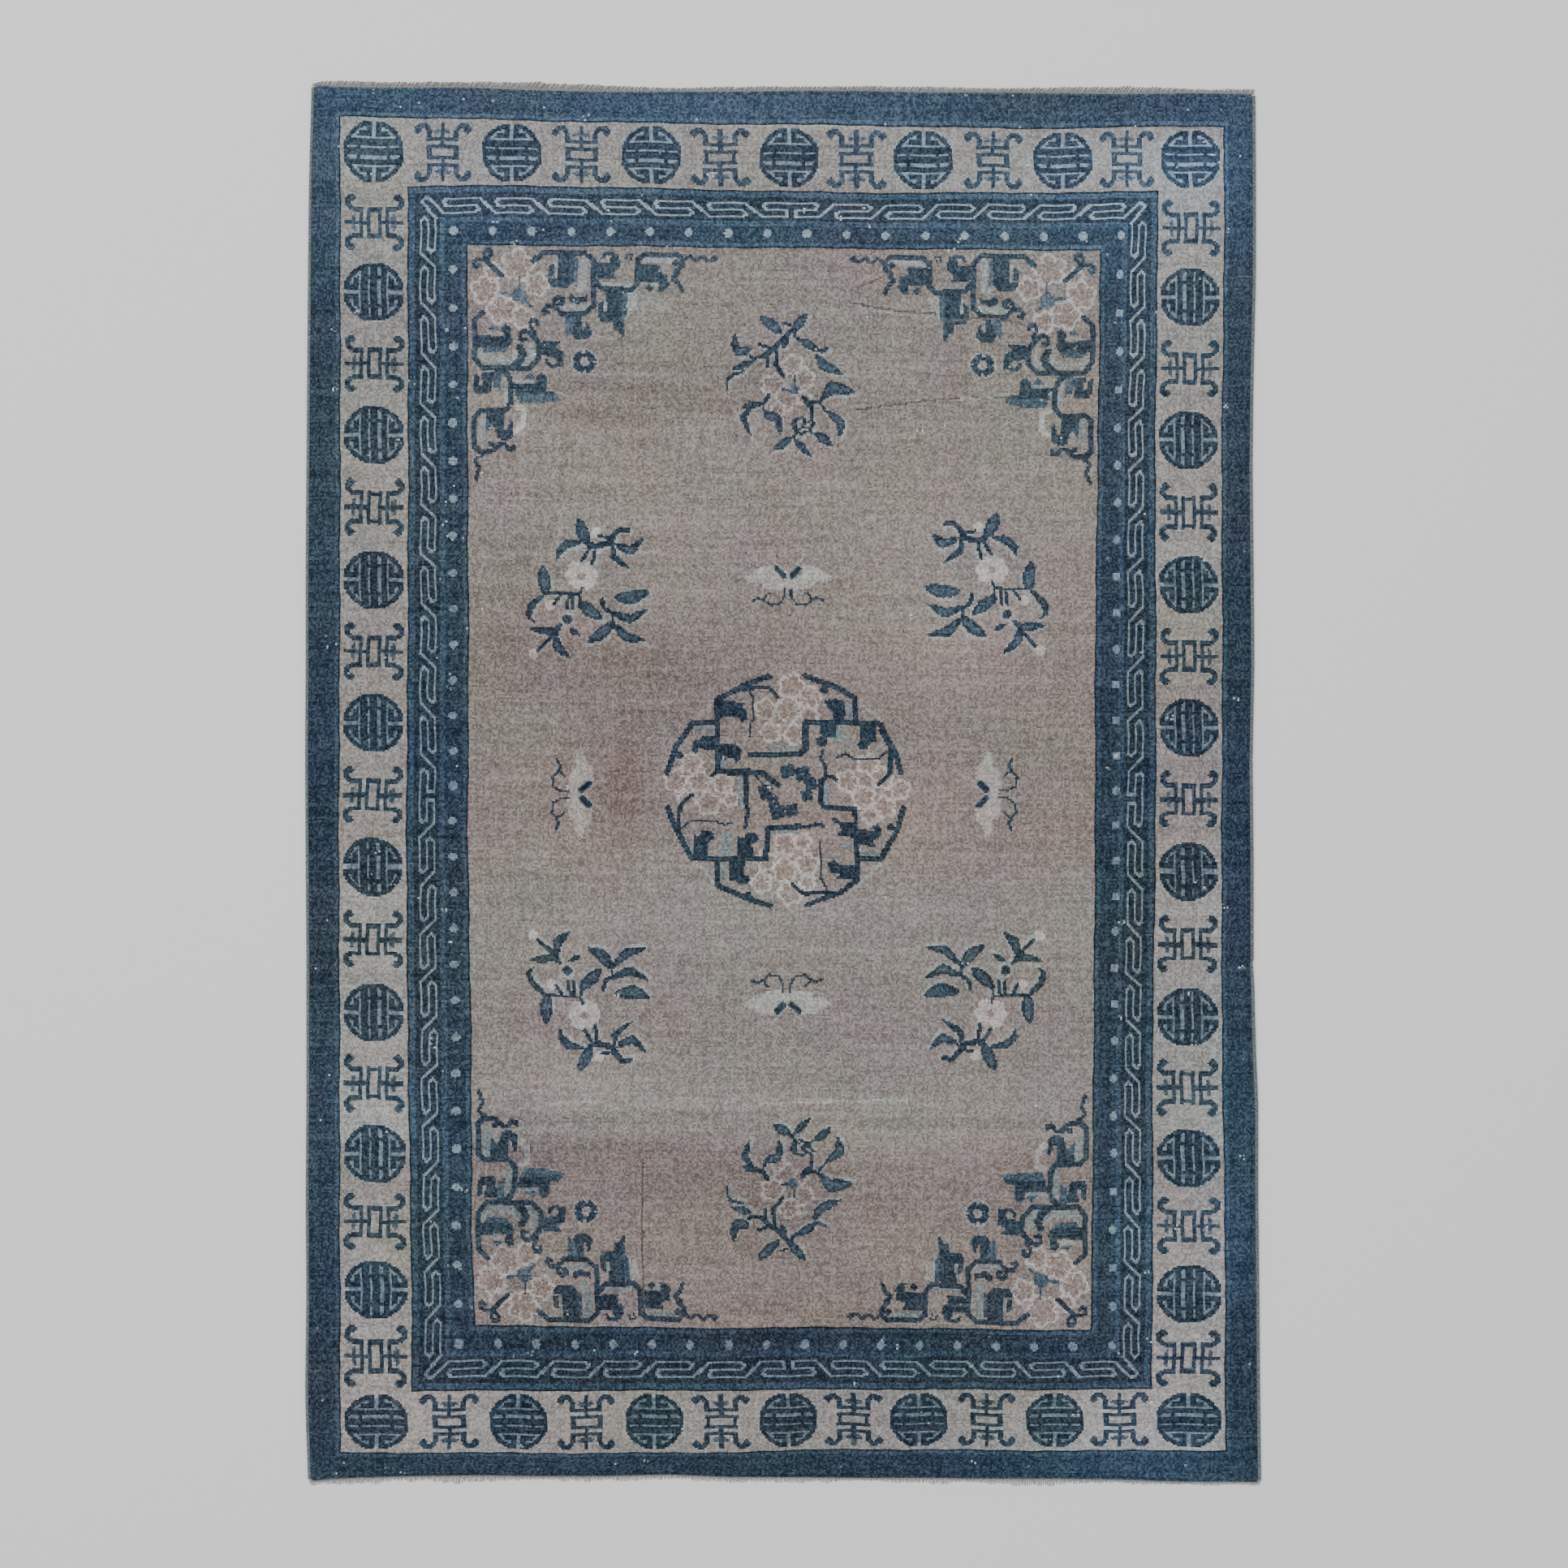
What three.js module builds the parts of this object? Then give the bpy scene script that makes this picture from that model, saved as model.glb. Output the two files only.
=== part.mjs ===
// A hand-knotted pile rug lying flat: one pile carpet, an overcast selvage cord along each
// side, and a short cut fringe at each end.
// Millimetres, +Z up. +Y is the length, +X the width, and the floor is Z = 0.
import * as THREE from 'three';

// Driving sizes
const PILE_THICKNESS = 9; // woven ground and wool pile together
const PILE_EDGE_ROUND = 1.8; // how far the pile rolls over at the rug's edges
const PILE_EDGE_STEPS = 2;
const SELVAGE_WIDTH = 7.4; // overcast cord along each long side
const SELVAGE_HEIGHT = 7.2;
const SELVAGE_FLAT = 3; // width of the cord that is pressed flat on the floor
const SELVAGE_SIDES = 10;
const SIDE_STEPS = 56; // stretches along each side
const FRINGE_THICKNESS = 2.6;
const FRINGE_ROOT = 3.4; // woven strip that the fringe locks grow from
const FRINGE_ROOT_UNEVEN = 0.45;
const LOCKS_PER_END = 146;
const LOCK_TAPER = 0.08; // share of a lock's width lost on each edge towards its tip
const SHORTEST_LOCK = 1.5;
const LOCK_SLOPE = 0.4; // how far a lock's cut slopes, as a share of the fringe's raggedness
const LEAN_UNEVEN = 0.5; // how far the locks' lean differs
const GAP = 0.3; // left between pieces that touch
const SELVAGE_END_GAP = 0.6;
const CORNER_MARGIN = 1; // kept between a corner and the next point along the end

// Outer faces of the two selvages, from the far end to the near one
const SIDES = [
  { y: 1349, left: -913, right: 910.5 },
  { y: 1169, left: -918, right: 912 },
  { y: 981, left: -920, right: 912 },
  { y: 793, left: -921.5, right: 907.5 },
  { y: 605, left: -923, right: 905.5 },
  { y: 417, left: -924.5, right: 907.5 },
  { y: 229, left: -924.5, right: 909 },
  { y: 41, left: -925.5, right: 905.5 },
  { y: -147, left: -924.5, right: 907.5 },
  { y: -335, left: -923, right: 907.5 },
  { y: -523, left: -923, right: 912 },
  { y: -617, left: -923, right: 916.5 },
  { y: -805, left: -924.5, right: 916.5 },
  { y: -993, left: -923, right: 918.5 },
  { y: -1182, left: -925.5, right: 920 },
  { y: -1352, left: -919.5, right: 922 },
];

// Far end: where the pile stops and how far the fringe reaches, with a turned-up corner
const FAR_END = [
  { x: -926, pile: 1347.5, tip: 1350 },
  { x: -912, pile: 1347.5, tip: 1352.5 },
  { x: -892, pile: 1347, tip: 1360 },
  { x: -881, pile: 1346, tip: 1358 },
  { x: -859, pile: 1344.5, tip: 1357 },
  { x: -733, pile: 1343, tip: 1355.5 },
  { x: -608, pile: 1343, tip: 1357 },
  { x: -483, pile: 1338, tip: 1355.5 },
  { x: -357, pile: 1335, tip: 1349 },
  { x: -232, pile: 1335, tip: 1344.5 },
  { x: -107, pile: 1335, tip: 1346 },
  { x: 19, pile: 1336.5, tip: 1347.5 },
  { x: 144, pile: 1336.5, tip: 1347.5 },
  { x: 270, pile: 1333.5, tip: 1347.5 },
  { x: 395, pile: 1333.5, tip: 1343 },
  { x: 520, pile: 1332, tip: 1346 },
  { x: 646, pile: 1330.5, tip: 1347.5 },
  { x: 771, pile: 1332, tip: 1343 },
  { x: 868, pile: 1331, tip: 1341.5 },
  { x: 900, pile: 1330.5, tip: 1342.5 },
  { x: 915, pile: 1330.5, tip: 1336 },
];

// Near end, where the fringe is more ragged
const NEAR_END = [
  { x: -926, pile: -1347.5, tip: -1357 },
  { x: -859, pile: -1343, tip: -1357 },
  { x: -733, pile: -1338, tip: -1351.5 },
  { x: -608, pile: -1336.5, tip: -1354 },
  { x: -483, pile: -1338, tip: -1348 },
  { x: -357, pile: -1338, tip: -1353 },
  { x: -232, pile: -1335, tip: -1347.5 },
  { x: -107, pile: -1340, tip: -1350 },
  { x: 19, pile: -1340, tip: -1354 },
  { x: 144, pile: -1341.5, tip: -1349 },
  { x: 270, pile: -1341.5, tip: -1354 },
  { x: 395, pile: -1343, tip: -1357 },
  { x: 520, pile: -1343, tip: -1358 },
  { x: 646, pile: -1344.5, tip: -1354 },
  { x: 771, pile: -1349, tip: -1356 },
  { x: 896, pile: -1349, tip: -1357 },
  { x: 923, pile: -1350.5, tip: -1358 },
];

// Half the height that the selvage's round section would have if it weren't pressed flat
const SELVAGE_RADIUS_UP = SELVAGE_HEIGHT /
  (1 + Math.sqrt(1 - (SELVAGE_FLAT / SELVAGE_WIDTH) ** 2));

// How uneven each fringe is: the cut's raggedness, the slits between locks and their lean
const FAR_FRINGE = { ragged: 1.1, slit: 0.9, lean: 2.6, seed: 11 };
const NEAR_FRINGE = { ragged: 2.8, slit: 2.2, lean: -1.2, seed: 37 };

const FINISHES = {
  pile: { color: 0x3a4a59, roughness: 0.95 },
  selvage: { color: 0x39444c, roughness: 0.95 },
  fringe: { color: 0xb9b7b2, roughness: 0.95 },
};

// Reads a column of a table at a place between its rows.
function readTable(rows, along, column, at) {
  const ordered = [...rows].sort((a, b) => a[along] - b[along]);
  const place = THREE.MathUtils.clamp(at, ordered[0][along], ordered[ordered.length - 1][along]);
  const upper = Math.max(1, ordered.findIndex((row) => row[along] >= place));
  const [low, high] = [ordered[upper - 1], ordered[upper]];
  const share = (place - low[along]) / (high[along] - low[along]);
  return THREE.MathUtils.lerp(low[column], high[column], share);
}

// A repeatable uneven value from -1 to 1 for each whole number.
function uneven(index, seed) {
  const wave = Math.sin(index * 12.9898 + seed * 78.233) * 43758.5453;
  return 2 * (wave - Math.floor(wave)) - 1;
}

function namedMesh(name, geometry, finish) {
  const mesh = new THREE.Mesh(geometry, new THREE.MeshStandardMaterial({ metalness: 0, ...finish }));
  mesh.name = name;
  return mesh;
}

// Where a side of the rug meets the two ends of its pile.
function sideSpan(column) {
  const farX = readTable(SIDES, 'y', column, SIDES[0].y);
  const nearX = readTable(SIDES, 'y', column, SIDES[SIDES.length - 1].y);
  return {
    near: readTable(NEAR_END, 'x', 'pile', nearX),
    far: readTable(FAR_END, 'x', 'pile', farX),
  };
}

// Points along one side, from the near end to the far end, moved towards the rug's middle.
function sidePoints(column, inward, endGap) {
  const { near, far } = sideSpan(column);
  const towardsMiddle = column === 'left' ? inward : -inward;
  const points = [];
  for (let step = 0; step <= SIDE_STEPS; step += 1) {
    const y = THREE.MathUtils.lerp(near + endGap, far - endGap, step / SIDE_STEPS);
    points.push(new THREE.Vector2(readTable(SIDES, 'y', column, y) + towardsMiddle, y));
  }
  return points;
}

// Points along one end of the pile, between two places across the rug.
function endPoints(rows, fromX, toX) {
  return rows
    .filter((row) => row.x > fromX && row.x < toX)
    .map((row) => new THREE.Vector2(row.x, row.pile));
}

function pileBody() {
  const inset = SELVAGE_WIDTH + GAP;
  const left = sidePoints('left', inset, 0);
  const right = sidePoints('right', inset, 0);
  for (const side of [left, right]) {
    const [near, far] = [side[0], side[side.length - 1]];
    near.y = readTable(NEAR_END, 'x', 'pile', near.x);
    far.y = readTable(FAR_END, 'x', 'pile', far.x);
  }
  const nearEnd = endPoints(NEAR_END, left[0].x + CORNER_MARGIN, right[0].x - CORNER_MARGIN);
  const farEnd = endPoints(
    FAR_END,
    left[SIDE_STEPS].x + CORNER_MARGIN,
    right[SIDE_STEPS].x - CORNER_MARGIN,
  );
  const outline = [...nearEnd, ...right, ...farEnd.reverse(), ...left.reverse()];
  const geometry = new THREE.ExtrudeGeometry(new THREE.Shape(outline), {
    depth: PILE_THICKNESS - 2 * PILE_EDGE_ROUND,
    bevelEnabled: true,
    bevelThickness: PILE_EDGE_ROUND,
    bevelSize: PILE_EDGE_ROUND,
    bevelOffset: -PILE_EDGE_ROUND,
    bevelSegments: PILE_EDGE_STEPS,
  });
  geometry.translate(0, 0, PILE_EDGE_ROUND);
  return namedMesh('pile_carpet', geometry, FINISHES.pile);
}

// The cord's section is pressed flat below. Its x runs down and its y runs across, the way
// that an extrusion along the rug's length turns it.
function selvageSection() {
  const start = Math.asin(SELVAGE_FLAT / SELVAGE_WIDTH);
  const points = [];
  for (let corner = 0; corner < SELVAGE_SIDES; corner += 1) {
    const turn = corner / (SELVAGE_SIDES - 1);
    const angle = THREE.MathUtils.lerp(start, 2 * Math.PI - start, turn);
    const down = Math.cos(angle) * SELVAGE_RADIUS_UP;
    points.push(new THREE.Vector2(down, Math.sin(angle) * (SELVAGE_WIDTH / 2)));
  }
  return new THREE.Shape(points);
}

function selvage(name, column) {
  const lift = SELVAGE_HEIGHT - SELVAGE_RADIUS_UP;
  const route = sidePoints(column, SELVAGE_WIDTH / 2, SELVAGE_END_GAP);
  const path = new THREE.CurvePath();
  for (let step = 1; step < route.length; step += 1) {
    const [from, to] = [route[step - 1], route[step]];
    path.add(new THREE.LineCurve3(
      new THREE.Vector3(from.x, from.y, lift),
      new THREE.Vector3(to.x, to.y, lift),
    ));
  }
  const geometry = new THREE.ExtrudeGeometry(selvageSection(), {
    steps: SIDE_STEPS,
    bevelEnabled: false,
    extrudePath: path,
  });
  return namedMesh(name, geometry, FINISHES.selvage);
}

// One end's fringe: a narrow strip beside the pile with flat cut locks standing out of it.
function fringe(name, rows, outward, style) {
  const [firstX, lastX] = outward > 0
    ? [SIDES[0].left, SIDES[0].right]
    : [SIDES[SIDES.length - 1].left, SIDES[SIDES.length - 1].right];
  const pitch = (lastX - firstX) / LOCKS_PER_END;
  const inner = [
    new THREE.Vector2(firstX, readTable(rows, 'x', 'pile', firstX) + outward * GAP),
    ...endPoints(rows, firstX + CORNER_MARGIN, lastX - CORNER_MARGIN)
      .map((point) => point.setY(point.y + outward * GAP)),
    new THREE.Vector2(lastX, readTable(rows, 'x', 'pile', lastX) + outward * GAP),
  ];
  const outer = [];
  for (let lock = 0; lock < LOCKS_PER_END; lock += 1) {
    const from = firstX + lock * pitch + (lock > 0 ? style.slit / 2 : 0);
    const to = firstX + (lock + 1) * pitch - (lock < LOCKS_PER_END - 1 ? style.slit / 2 : 0);
    const middle = (from + to) / 2;
    const root = (x, seed) => readTable(rows, 'x', 'pile', x) +
      outward * (FRINGE_ROOT + FRINGE_ROOT_UNEVEN * uneven(lock, seed));
    const cut = outward * style.ragged * uneven(lock, style.seed);
    const slope = outward * style.ragged * LOCK_SLOPE * uneven(lock, style.seed + 1);
    const atEnd = lock === 0 || lock === LOCKS_PER_END - 1;
    const lean = atEnd ? 0 : style.lean + LEAN_UNEVEN * uneven(lock, style.seed + 2);
    const tip = (x, turn) => {
      const reach = readTable(rows, 'x', 'tip', x) + cut + turn * slope;
      const shortest = root(middle, style.seed) + outward * SHORTEST_LOCK;
      return outward * Math.max(outward * reach, outward * shortest);
    };
    outer.push(new THREE.Vector2(from, root(from, style.seed + 3)));
    outer.push(new THREE.Vector2(from + lean + pitch * LOCK_TAPER, tip(from, 1)));
    outer.push(new THREE.Vector2(to + lean - pitch * LOCK_TAPER, tip(to, -1)));
    outer.push(new THREE.Vector2(to, root(to, style.seed + 4)));
  }
  const outline = outward > 0 ? [...inner, ...outer.reverse()] : [...outer, ...inner.reverse()];
  const geometry = new THREE.ExtrudeGeometry(new THREE.Shape(outline), {
    depth: FRINGE_THICKNESS,
    bevelEnabled: false,
  });
  return namedMesh(name, geometry, FINISHES.fringe);
}

const rug = new THREE.Group();
rug.add(
  pileBody(),
  selvage('selvage_left', 'left'),
  selvage('selvage_right', 'right'),
  fringe('fringe_far', FAR_END, 1, FAR_FRINGE),
  fringe('fringe_near', NEAR_END, -1, NEAR_FRINGE),
);

// The rug's middle is put over the origin.
const middle = new THREE.Box3().setFromObject(rug).getCenter(new THREE.Vector3());
rug.position.set(-middle.x, -middle.y, 0);

export default rug;
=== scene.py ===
# The hand-knotted pile rug, laid flat: its knotted pile, woven ground, selvages and fringes.
# Metres, +Z up. The pattern is charted in knots, column 0 at the left and row 0 at the far end.
import logging
import math
import random
from dataclasses import dataclass
from enum import IntEnum
from typing import ClassVar, Sequence

import bmesh
import bpy
import numpy as np
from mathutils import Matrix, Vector


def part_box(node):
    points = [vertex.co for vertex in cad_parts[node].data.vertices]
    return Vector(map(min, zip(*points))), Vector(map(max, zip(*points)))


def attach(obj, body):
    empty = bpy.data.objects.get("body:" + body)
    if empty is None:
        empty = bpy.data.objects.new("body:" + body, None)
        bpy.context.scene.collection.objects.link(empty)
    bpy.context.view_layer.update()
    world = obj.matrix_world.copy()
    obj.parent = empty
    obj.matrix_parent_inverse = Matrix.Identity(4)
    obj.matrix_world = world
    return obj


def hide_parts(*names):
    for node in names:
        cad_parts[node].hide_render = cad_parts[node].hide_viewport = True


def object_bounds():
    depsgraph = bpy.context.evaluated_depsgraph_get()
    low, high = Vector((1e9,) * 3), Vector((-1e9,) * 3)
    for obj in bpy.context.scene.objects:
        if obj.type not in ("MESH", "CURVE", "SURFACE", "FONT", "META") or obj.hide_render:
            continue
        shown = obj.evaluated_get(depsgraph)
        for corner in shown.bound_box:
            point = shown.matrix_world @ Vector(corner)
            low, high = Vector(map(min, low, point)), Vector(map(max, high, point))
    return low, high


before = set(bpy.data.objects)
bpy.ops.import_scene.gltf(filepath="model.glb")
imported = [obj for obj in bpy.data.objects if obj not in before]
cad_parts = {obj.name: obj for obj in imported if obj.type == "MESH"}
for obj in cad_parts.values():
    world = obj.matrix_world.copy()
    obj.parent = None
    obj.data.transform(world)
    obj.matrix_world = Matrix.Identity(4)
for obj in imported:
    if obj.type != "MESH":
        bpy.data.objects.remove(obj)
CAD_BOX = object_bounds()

log = logging.getLogger("rug")

Point = tuple[float, float]
Colour = tuple[float, float, float]
Socket = bpy.types.NodeSocket

# The chart's size in knots, and how far in from its sides each border ends
COLUMNS = 520
ROWS = 780
OUTER_BAND = 18
SIGN_BORDER = 54
FIELD_EDGE = 88

# The photograph looks straight down, with its middle a little off the rug's
PHOTO_SPAN = 3.027
PHOTO_MIDDLE = Vector((0.0018, -0.0008))
MM = 0.001
# How a display value follows from the light it stands for
DISPLAY_GAMMA = 2.2


class Yarn(IntEnum):
    """The dyed yarns, the same yarns where they are worn or outlined, and a darker one that is painted shade
    along creases and also marks dark flecks.
    """

    NAVY = 0
    STRIPE = 1
    DEEP = 2
    OUTLINE = 3
    INDIGO = 4
    DARK = 5
    SHADE = 6
    MID = 7
    PALE = 8
    LIGHT = 9
    SKY = 10
    BEIGE = 11
    FIELD = 12
    IVORY = 13
    ROSE = 14
    HAZE = 15
    CREASE = 16
    SPECK = 17
    CREAM = 18


# Each yarn's colour as it reads in soft daylight, in display red, green and blue of 255
DYES: dict[Yarn, Colour] = {
    Yarn.NAVY: (52, 69, 86),
    Yarn.STRIPE: (66, 87, 107),
    Yarn.DEEP: (47, 62, 76),
    Yarn.OUTLINE: (37, 49, 60),
    Yarn.INDIGO: (56, 72, 86),
    Yarn.DARK: (48, 65, 80),
    Yarn.SHADE: (78, 96, 111),
    Yarn.MID: (90, 107, 122),
    Yarn.PALE: (147, 153, 154),
    Yarn.LIGHT: (122, 139, 151),
    Yarn.SKY: (140, 157, 170),
    Yarn.BEIGE: (162, 159, 155),
    Yarn.FIELD: (150, 142, 137),
    Yarn.IVORY: (197, 191, 187),
    Yarn.ROSE: (157, 144, 137),
    # Pale halos, also painted highlight on crests
    Yarn.HAZE: (163, 166, 163),
    # Painted shade along creases, also the colour of dark flecks
    Yarn.CREASE: (112, 103, 98),
    Yarn.SPECK: (216, 224, 229),
    Yarn.CREAM: (184, 183, 178),
}
# Painted shade between the tufts: the share of each dye's linear colour that is kept
PAINTED_PILE_SHADE = 0.8
BLUES = frozenset(range(Yarn.NAVY, Yarn.BEIGE))


def distance(points: Sequence[Point], columns: np.ndarray, rows: np.ndarray) -> np.ndarray:
    """Finds how far knots are from a bent line.

    Args:
        points: The line's corners.
        columns: The knots' places across the chart.
        rows: Their places along it.

    Returns:
        Each knot's distance from the nearest stretch.
    """
    near = np.full(columns.shape, np.inf)
    for (u0, v0), (u1, v1) in zip(points, points[1:]):
        du, dv = u1 - u0, v1 - v0
        square = max(du * du + dv * dv, 1e-9)
        share = np.clip(((columns - u0) * du + (rows - v0) * dv) / square, 0, 1)
        near = np.minimum(near, np.hypot(columns - u0 - share * du, rows - v0 - share * dv))
    return near


def vertices_of(mesh: bpy.types.Mesh) -> np.ndarray:
    """Reads a mesh's vertices.

    Args:
        mesh: The mesh.

    Returns:
        One row a vertex.
    """
    places = np.empty(len(mesh.vertices) * 3)
    mesh.vertices.foreach_get("co", places)
    return places.reshape(-1, 3)


def mesh_from(form: bmesh.types.BMesh, name: str) -> bpy.types.Mesh:
    """Ends the modelling of a shape.

    Args:
        form: The shape.
        name: Its name.

    Returns:
        Its mesh.
    """
    mesh = bpy.data.meshes.new(name)
    form.to_mesh(mesh)
    form.free()
    return mesh


def piece_from(mesh: bpy.types.Mesh, material: bpy.types.Material) -> bpy.types.Object:
    """Dresses a finished mesh and puts it in the scene.

    Args:
        mesh: The piece's mesh, which gives its name.
        material: Its finish.

    Returns:
        The piece.
    """
    mesh.materials.append(material)
    piece = bpy.data.objects.new(mesh.name, mesh)
    bpy.context.collection.objects.link(piece)
    return piece


def inward(columns: np.ndarray, rows: np.ndarray) -> np.ndarray:
    """Finds how many knots in from the chart's nearest side each place is.

    Args:
        columns: Places across the chart.
        rows: Places along it.

    Returns:
        The distance in knots.
    """
    return np.minimum.reduce([columns, COLUMNS - columns, rows, ROWS - rows])


class Chart:
    """The knot chart that the weaver reads, one yarn for each knot."""

    def __init__(self) -> None:
        """Starts the chart all beige."""
        self.knots = np.full((ROWS, COLUMNS), Yarn.BEIGE, dtype=np.uint8)

    def window(self, points: Sequence[Point], reach: float) -> tuple:
        """Finds the knots round some points.

        Args:
            points: Places on the chart.
            reach: How far round them to look.

        Returns:
            The knots' slices, and each knot's column and row.
        """
        across = [u for u, _ in points]
        along = [v for _, v in points]
        left = max(0, int(min(across) - reach))
        right = min(COLUMNS, int(max(across) + reach) + 2)
        top = max(0, int(min(along) - reach))
        bottom = min(ROWS, int(max(along) + reach) + 2)
        rows, columns = np.mgrid[top:bottom, left:right] + 0.5
        return (slice(top, bottom), slice(left, right)), columns, rows

    def line(self, points: Sequence[Point], width: float, yarn: Yarn) -> None:
        """Knots a line of even width.

        Args:
            points: The line's corners.
            width: Its width.
            yarn: What it is knotted in.
        """
        area, columns, rows = self.window(points, width)
        self.knots[area][distance(points, columns, rows) <= width / 2] = yarn

    def sweep(self, points: Sequence[Point], radii: Sequence[float], yarn: Yarn) -> None:
        """Knots a line whose width changes on its way.

        Args:
            points: Places close together along the line.
            radii: Half the width at each of them.
            yarn: What it is knotted in.
        """
        area, columns, rows = self.window(points, max(radii))
        near = np.full(columns.shape, np.inf)
        for (u, v), radius in zip(points, radii):
            near = np.minimum(near, np.hypot(columns - u, rows - v) - radius)
        self.knots[area][near <= 0] = yarn

    def shape(self, points: Sequence[Point], yarn: Yarn) -> None:
        """Fills an outline.

        Args:
            points: The outline's corners, in order.
            yarn: What it is filled with.
        """
        area, columns, rows = self.window(points, 0)
        inside = np.zeros(columns.shape, dtype=bool)
        for (u0, v0), (u1, v1) in zip(points, [*points[1:], points[0]]):
            if v0 == v1:
                continue
            crossing = u0 + (rows - v0) * (u1 - u0) / (v1 - v0)
            inside ^= ((v0 > rows) != (v1 > rows)) & (columns < crossing)
        self.knots[area][inside] = yarn


@dataclass
class Pen:
    """Charts a motif round its own middle, turned or mirrored as its place asks."""

    chart: Chart
    column: float
    row: float
    quarter_turns: int = 0
    flip_across: bool = False
    flip_along: bool = False

    def placed(self, points: Sequence[Point]) -> list[Point]:
        """Brings a motif's own points to the chart.

        Args:
            points: Places from the motif's middle, across and towards the near end.

        Returns:
            The same places on the chart.
        """
        found = []
        for u, v in points:
            u = -u if self.flip_across else u
            v = -v if self.flip_along else v
            for _ in range(self.quarter_turns):
                u, v = -v, u
            found.append((self.column + u, self.row + v))
        return found

    def line(self, width: float, yarn: Yarn, *points: Point) -> None:
        """Knots a line.

        Args:
            width: Its width.
            yarn: What it is knotted in.
            points: Its corners.
        """
        self.chart.line(self.placed(points), width, yarn)

    def strokes(self, yarn: Yarn, strokes: Sequence[tuple]) -> None:
        """Knots several lines in one yarn.

        Args:
            yarn: What they are knotted in.
            strokes: Each line's width and corners.
        """
        for width, *points in strokes:
            self.line(width, yarn, *points)

    def blob(self, radius: float, yarn: Yarn, *middles: Point) -> None:
        """Knots round spots.

        Args:
            radius: Their size.
            yarn: What they are knotted in.
            middles: Where they are.
        """
        for middle in middles:
            self.chart.sweep(self.placed([middle]), [radius], yarn)

    def shape(self, yarn: Yarn, *points: Point) -> None:
        """Fills an outline.

        Args:
            yarn: What it is filled with.
            points: Its corners.
        """
        self.chart.shape(self.placed(points), yarn)

    def box(self, yarn: Yarn, left: float, top: float, right: float, bottom: float) -> None:
        """Fills a rectangle.

        Args:
            yarn: What it is filled with.
            left: Its near side across.
            top: Its side towards the far end.
            right: Its other side across.
            bottom: Its side towards the near end.
        """
        self.shape(yarn, (left, top), (right, top), (right, bottom), (left, bottom))

    def leaf(self, width: float, *spine: Point) -> None:
        """Knots a leaf along its bent spine, dark at its edge, with a pale shadow beside it.

        Args:
            width: The leaf at its widest.
            spine: Points from its stalk to its tip.
        """
        steps, thinnest, rim = 16, 0.7, 1.5
        lengths = [math.dist(a, b) for a, b in zip(spine, spine[1:])]
        path, radii = [], []
        for step in range(steps + 1):
            left = sum(lengths) * step / steps
            for (a, b), length in zip(zip(spine, spine[1:]), lengths):
                if left <= length or b == spine[-1]:
                    share = min(1.0, left / max(length, 1e-9))
                    path.append((a[0] + (b[0] - a[0]) * share, a[1] + (b[1] - a[1]) * share))
                    break
                left -= length
            fullness = math.sin(math.pi * (0.1 + 0.86 * step / steps)) ** 0.8
            radii.append(max(thinnest, width / 2 * fullness))
        shadow = [(u + 1.1, v + 1.3) for u, v in path]
        self.chart.sweep(self.placed(shadow), [radius + 0.4 for radius in radii], Yarn.HAZE)
        self.chart.sweep(self.placed(path), radii, Yarn.INDIGO)
        inner = [(place, radius - rim) for place, radius in zip(path, radii) if radius > rim + 0.8]
        if inner:
            middles, radii = zip(*inner)
            self.chart.sweep(self.placed(middles), radii, Yarn.SHADE)

    def peony(self, *flowers: tuple[float, float, float]) -> None:
        """Knots many-petalled flowers, each petal rose inside and ivory at its outer rim.

        Args:
            flowers: Each flower's middle and radius.
        """
        petals, turn = 5, 2.4
        for index, (u, v, radius) in enumerate(flowers):
            petal_radius, outer = 0.44 * radius, 0.58 * radius
            for petal in range(petals):
                angle = index * turn + petal * math.tau / petals
                across, along = math.cos(angle), math.sin(angle)
                inner = outer - 1.1
                self.blob(petal_radius, Yarn.IVORY, (u + outer * across, v + outer * along))
                self.blob(petal_radius - 0.9, Yarn.ROSE, (u + inner * across, v + inner * along))
            self.blob(0.34 * radius, Yarn.ROSE, (u, v))


def mirrored(points: Sequence[Point], side: int, end: int = 1) -> list[Point]:
    """Mirrors a motif's own points.

    Args:
        points: The points on its right and nearer half.
        side: -1 for its left half.
        end: -1 for its farther half.

    Returns:
        The points, mirrored.
    """
    return [(side * u, end * v) for u, v in points]


def corners(chart: Chart, inset: float) -> list[Pen]:
    """Sets a pen to each corner of a border, mirrored so that one drawing fits all four.

    Args:
        chart: The chart to draw on.
        inset: How far in from the chart's sides the border is.

    Returns:
        The four pens.
    """
    return [
        Pen(chart, COLUMNS - inset if across else inset, ROWS - inset if along else inset, 0, across, along)
        for along in (False, True)
        for across in (False, True)
    ]


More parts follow.
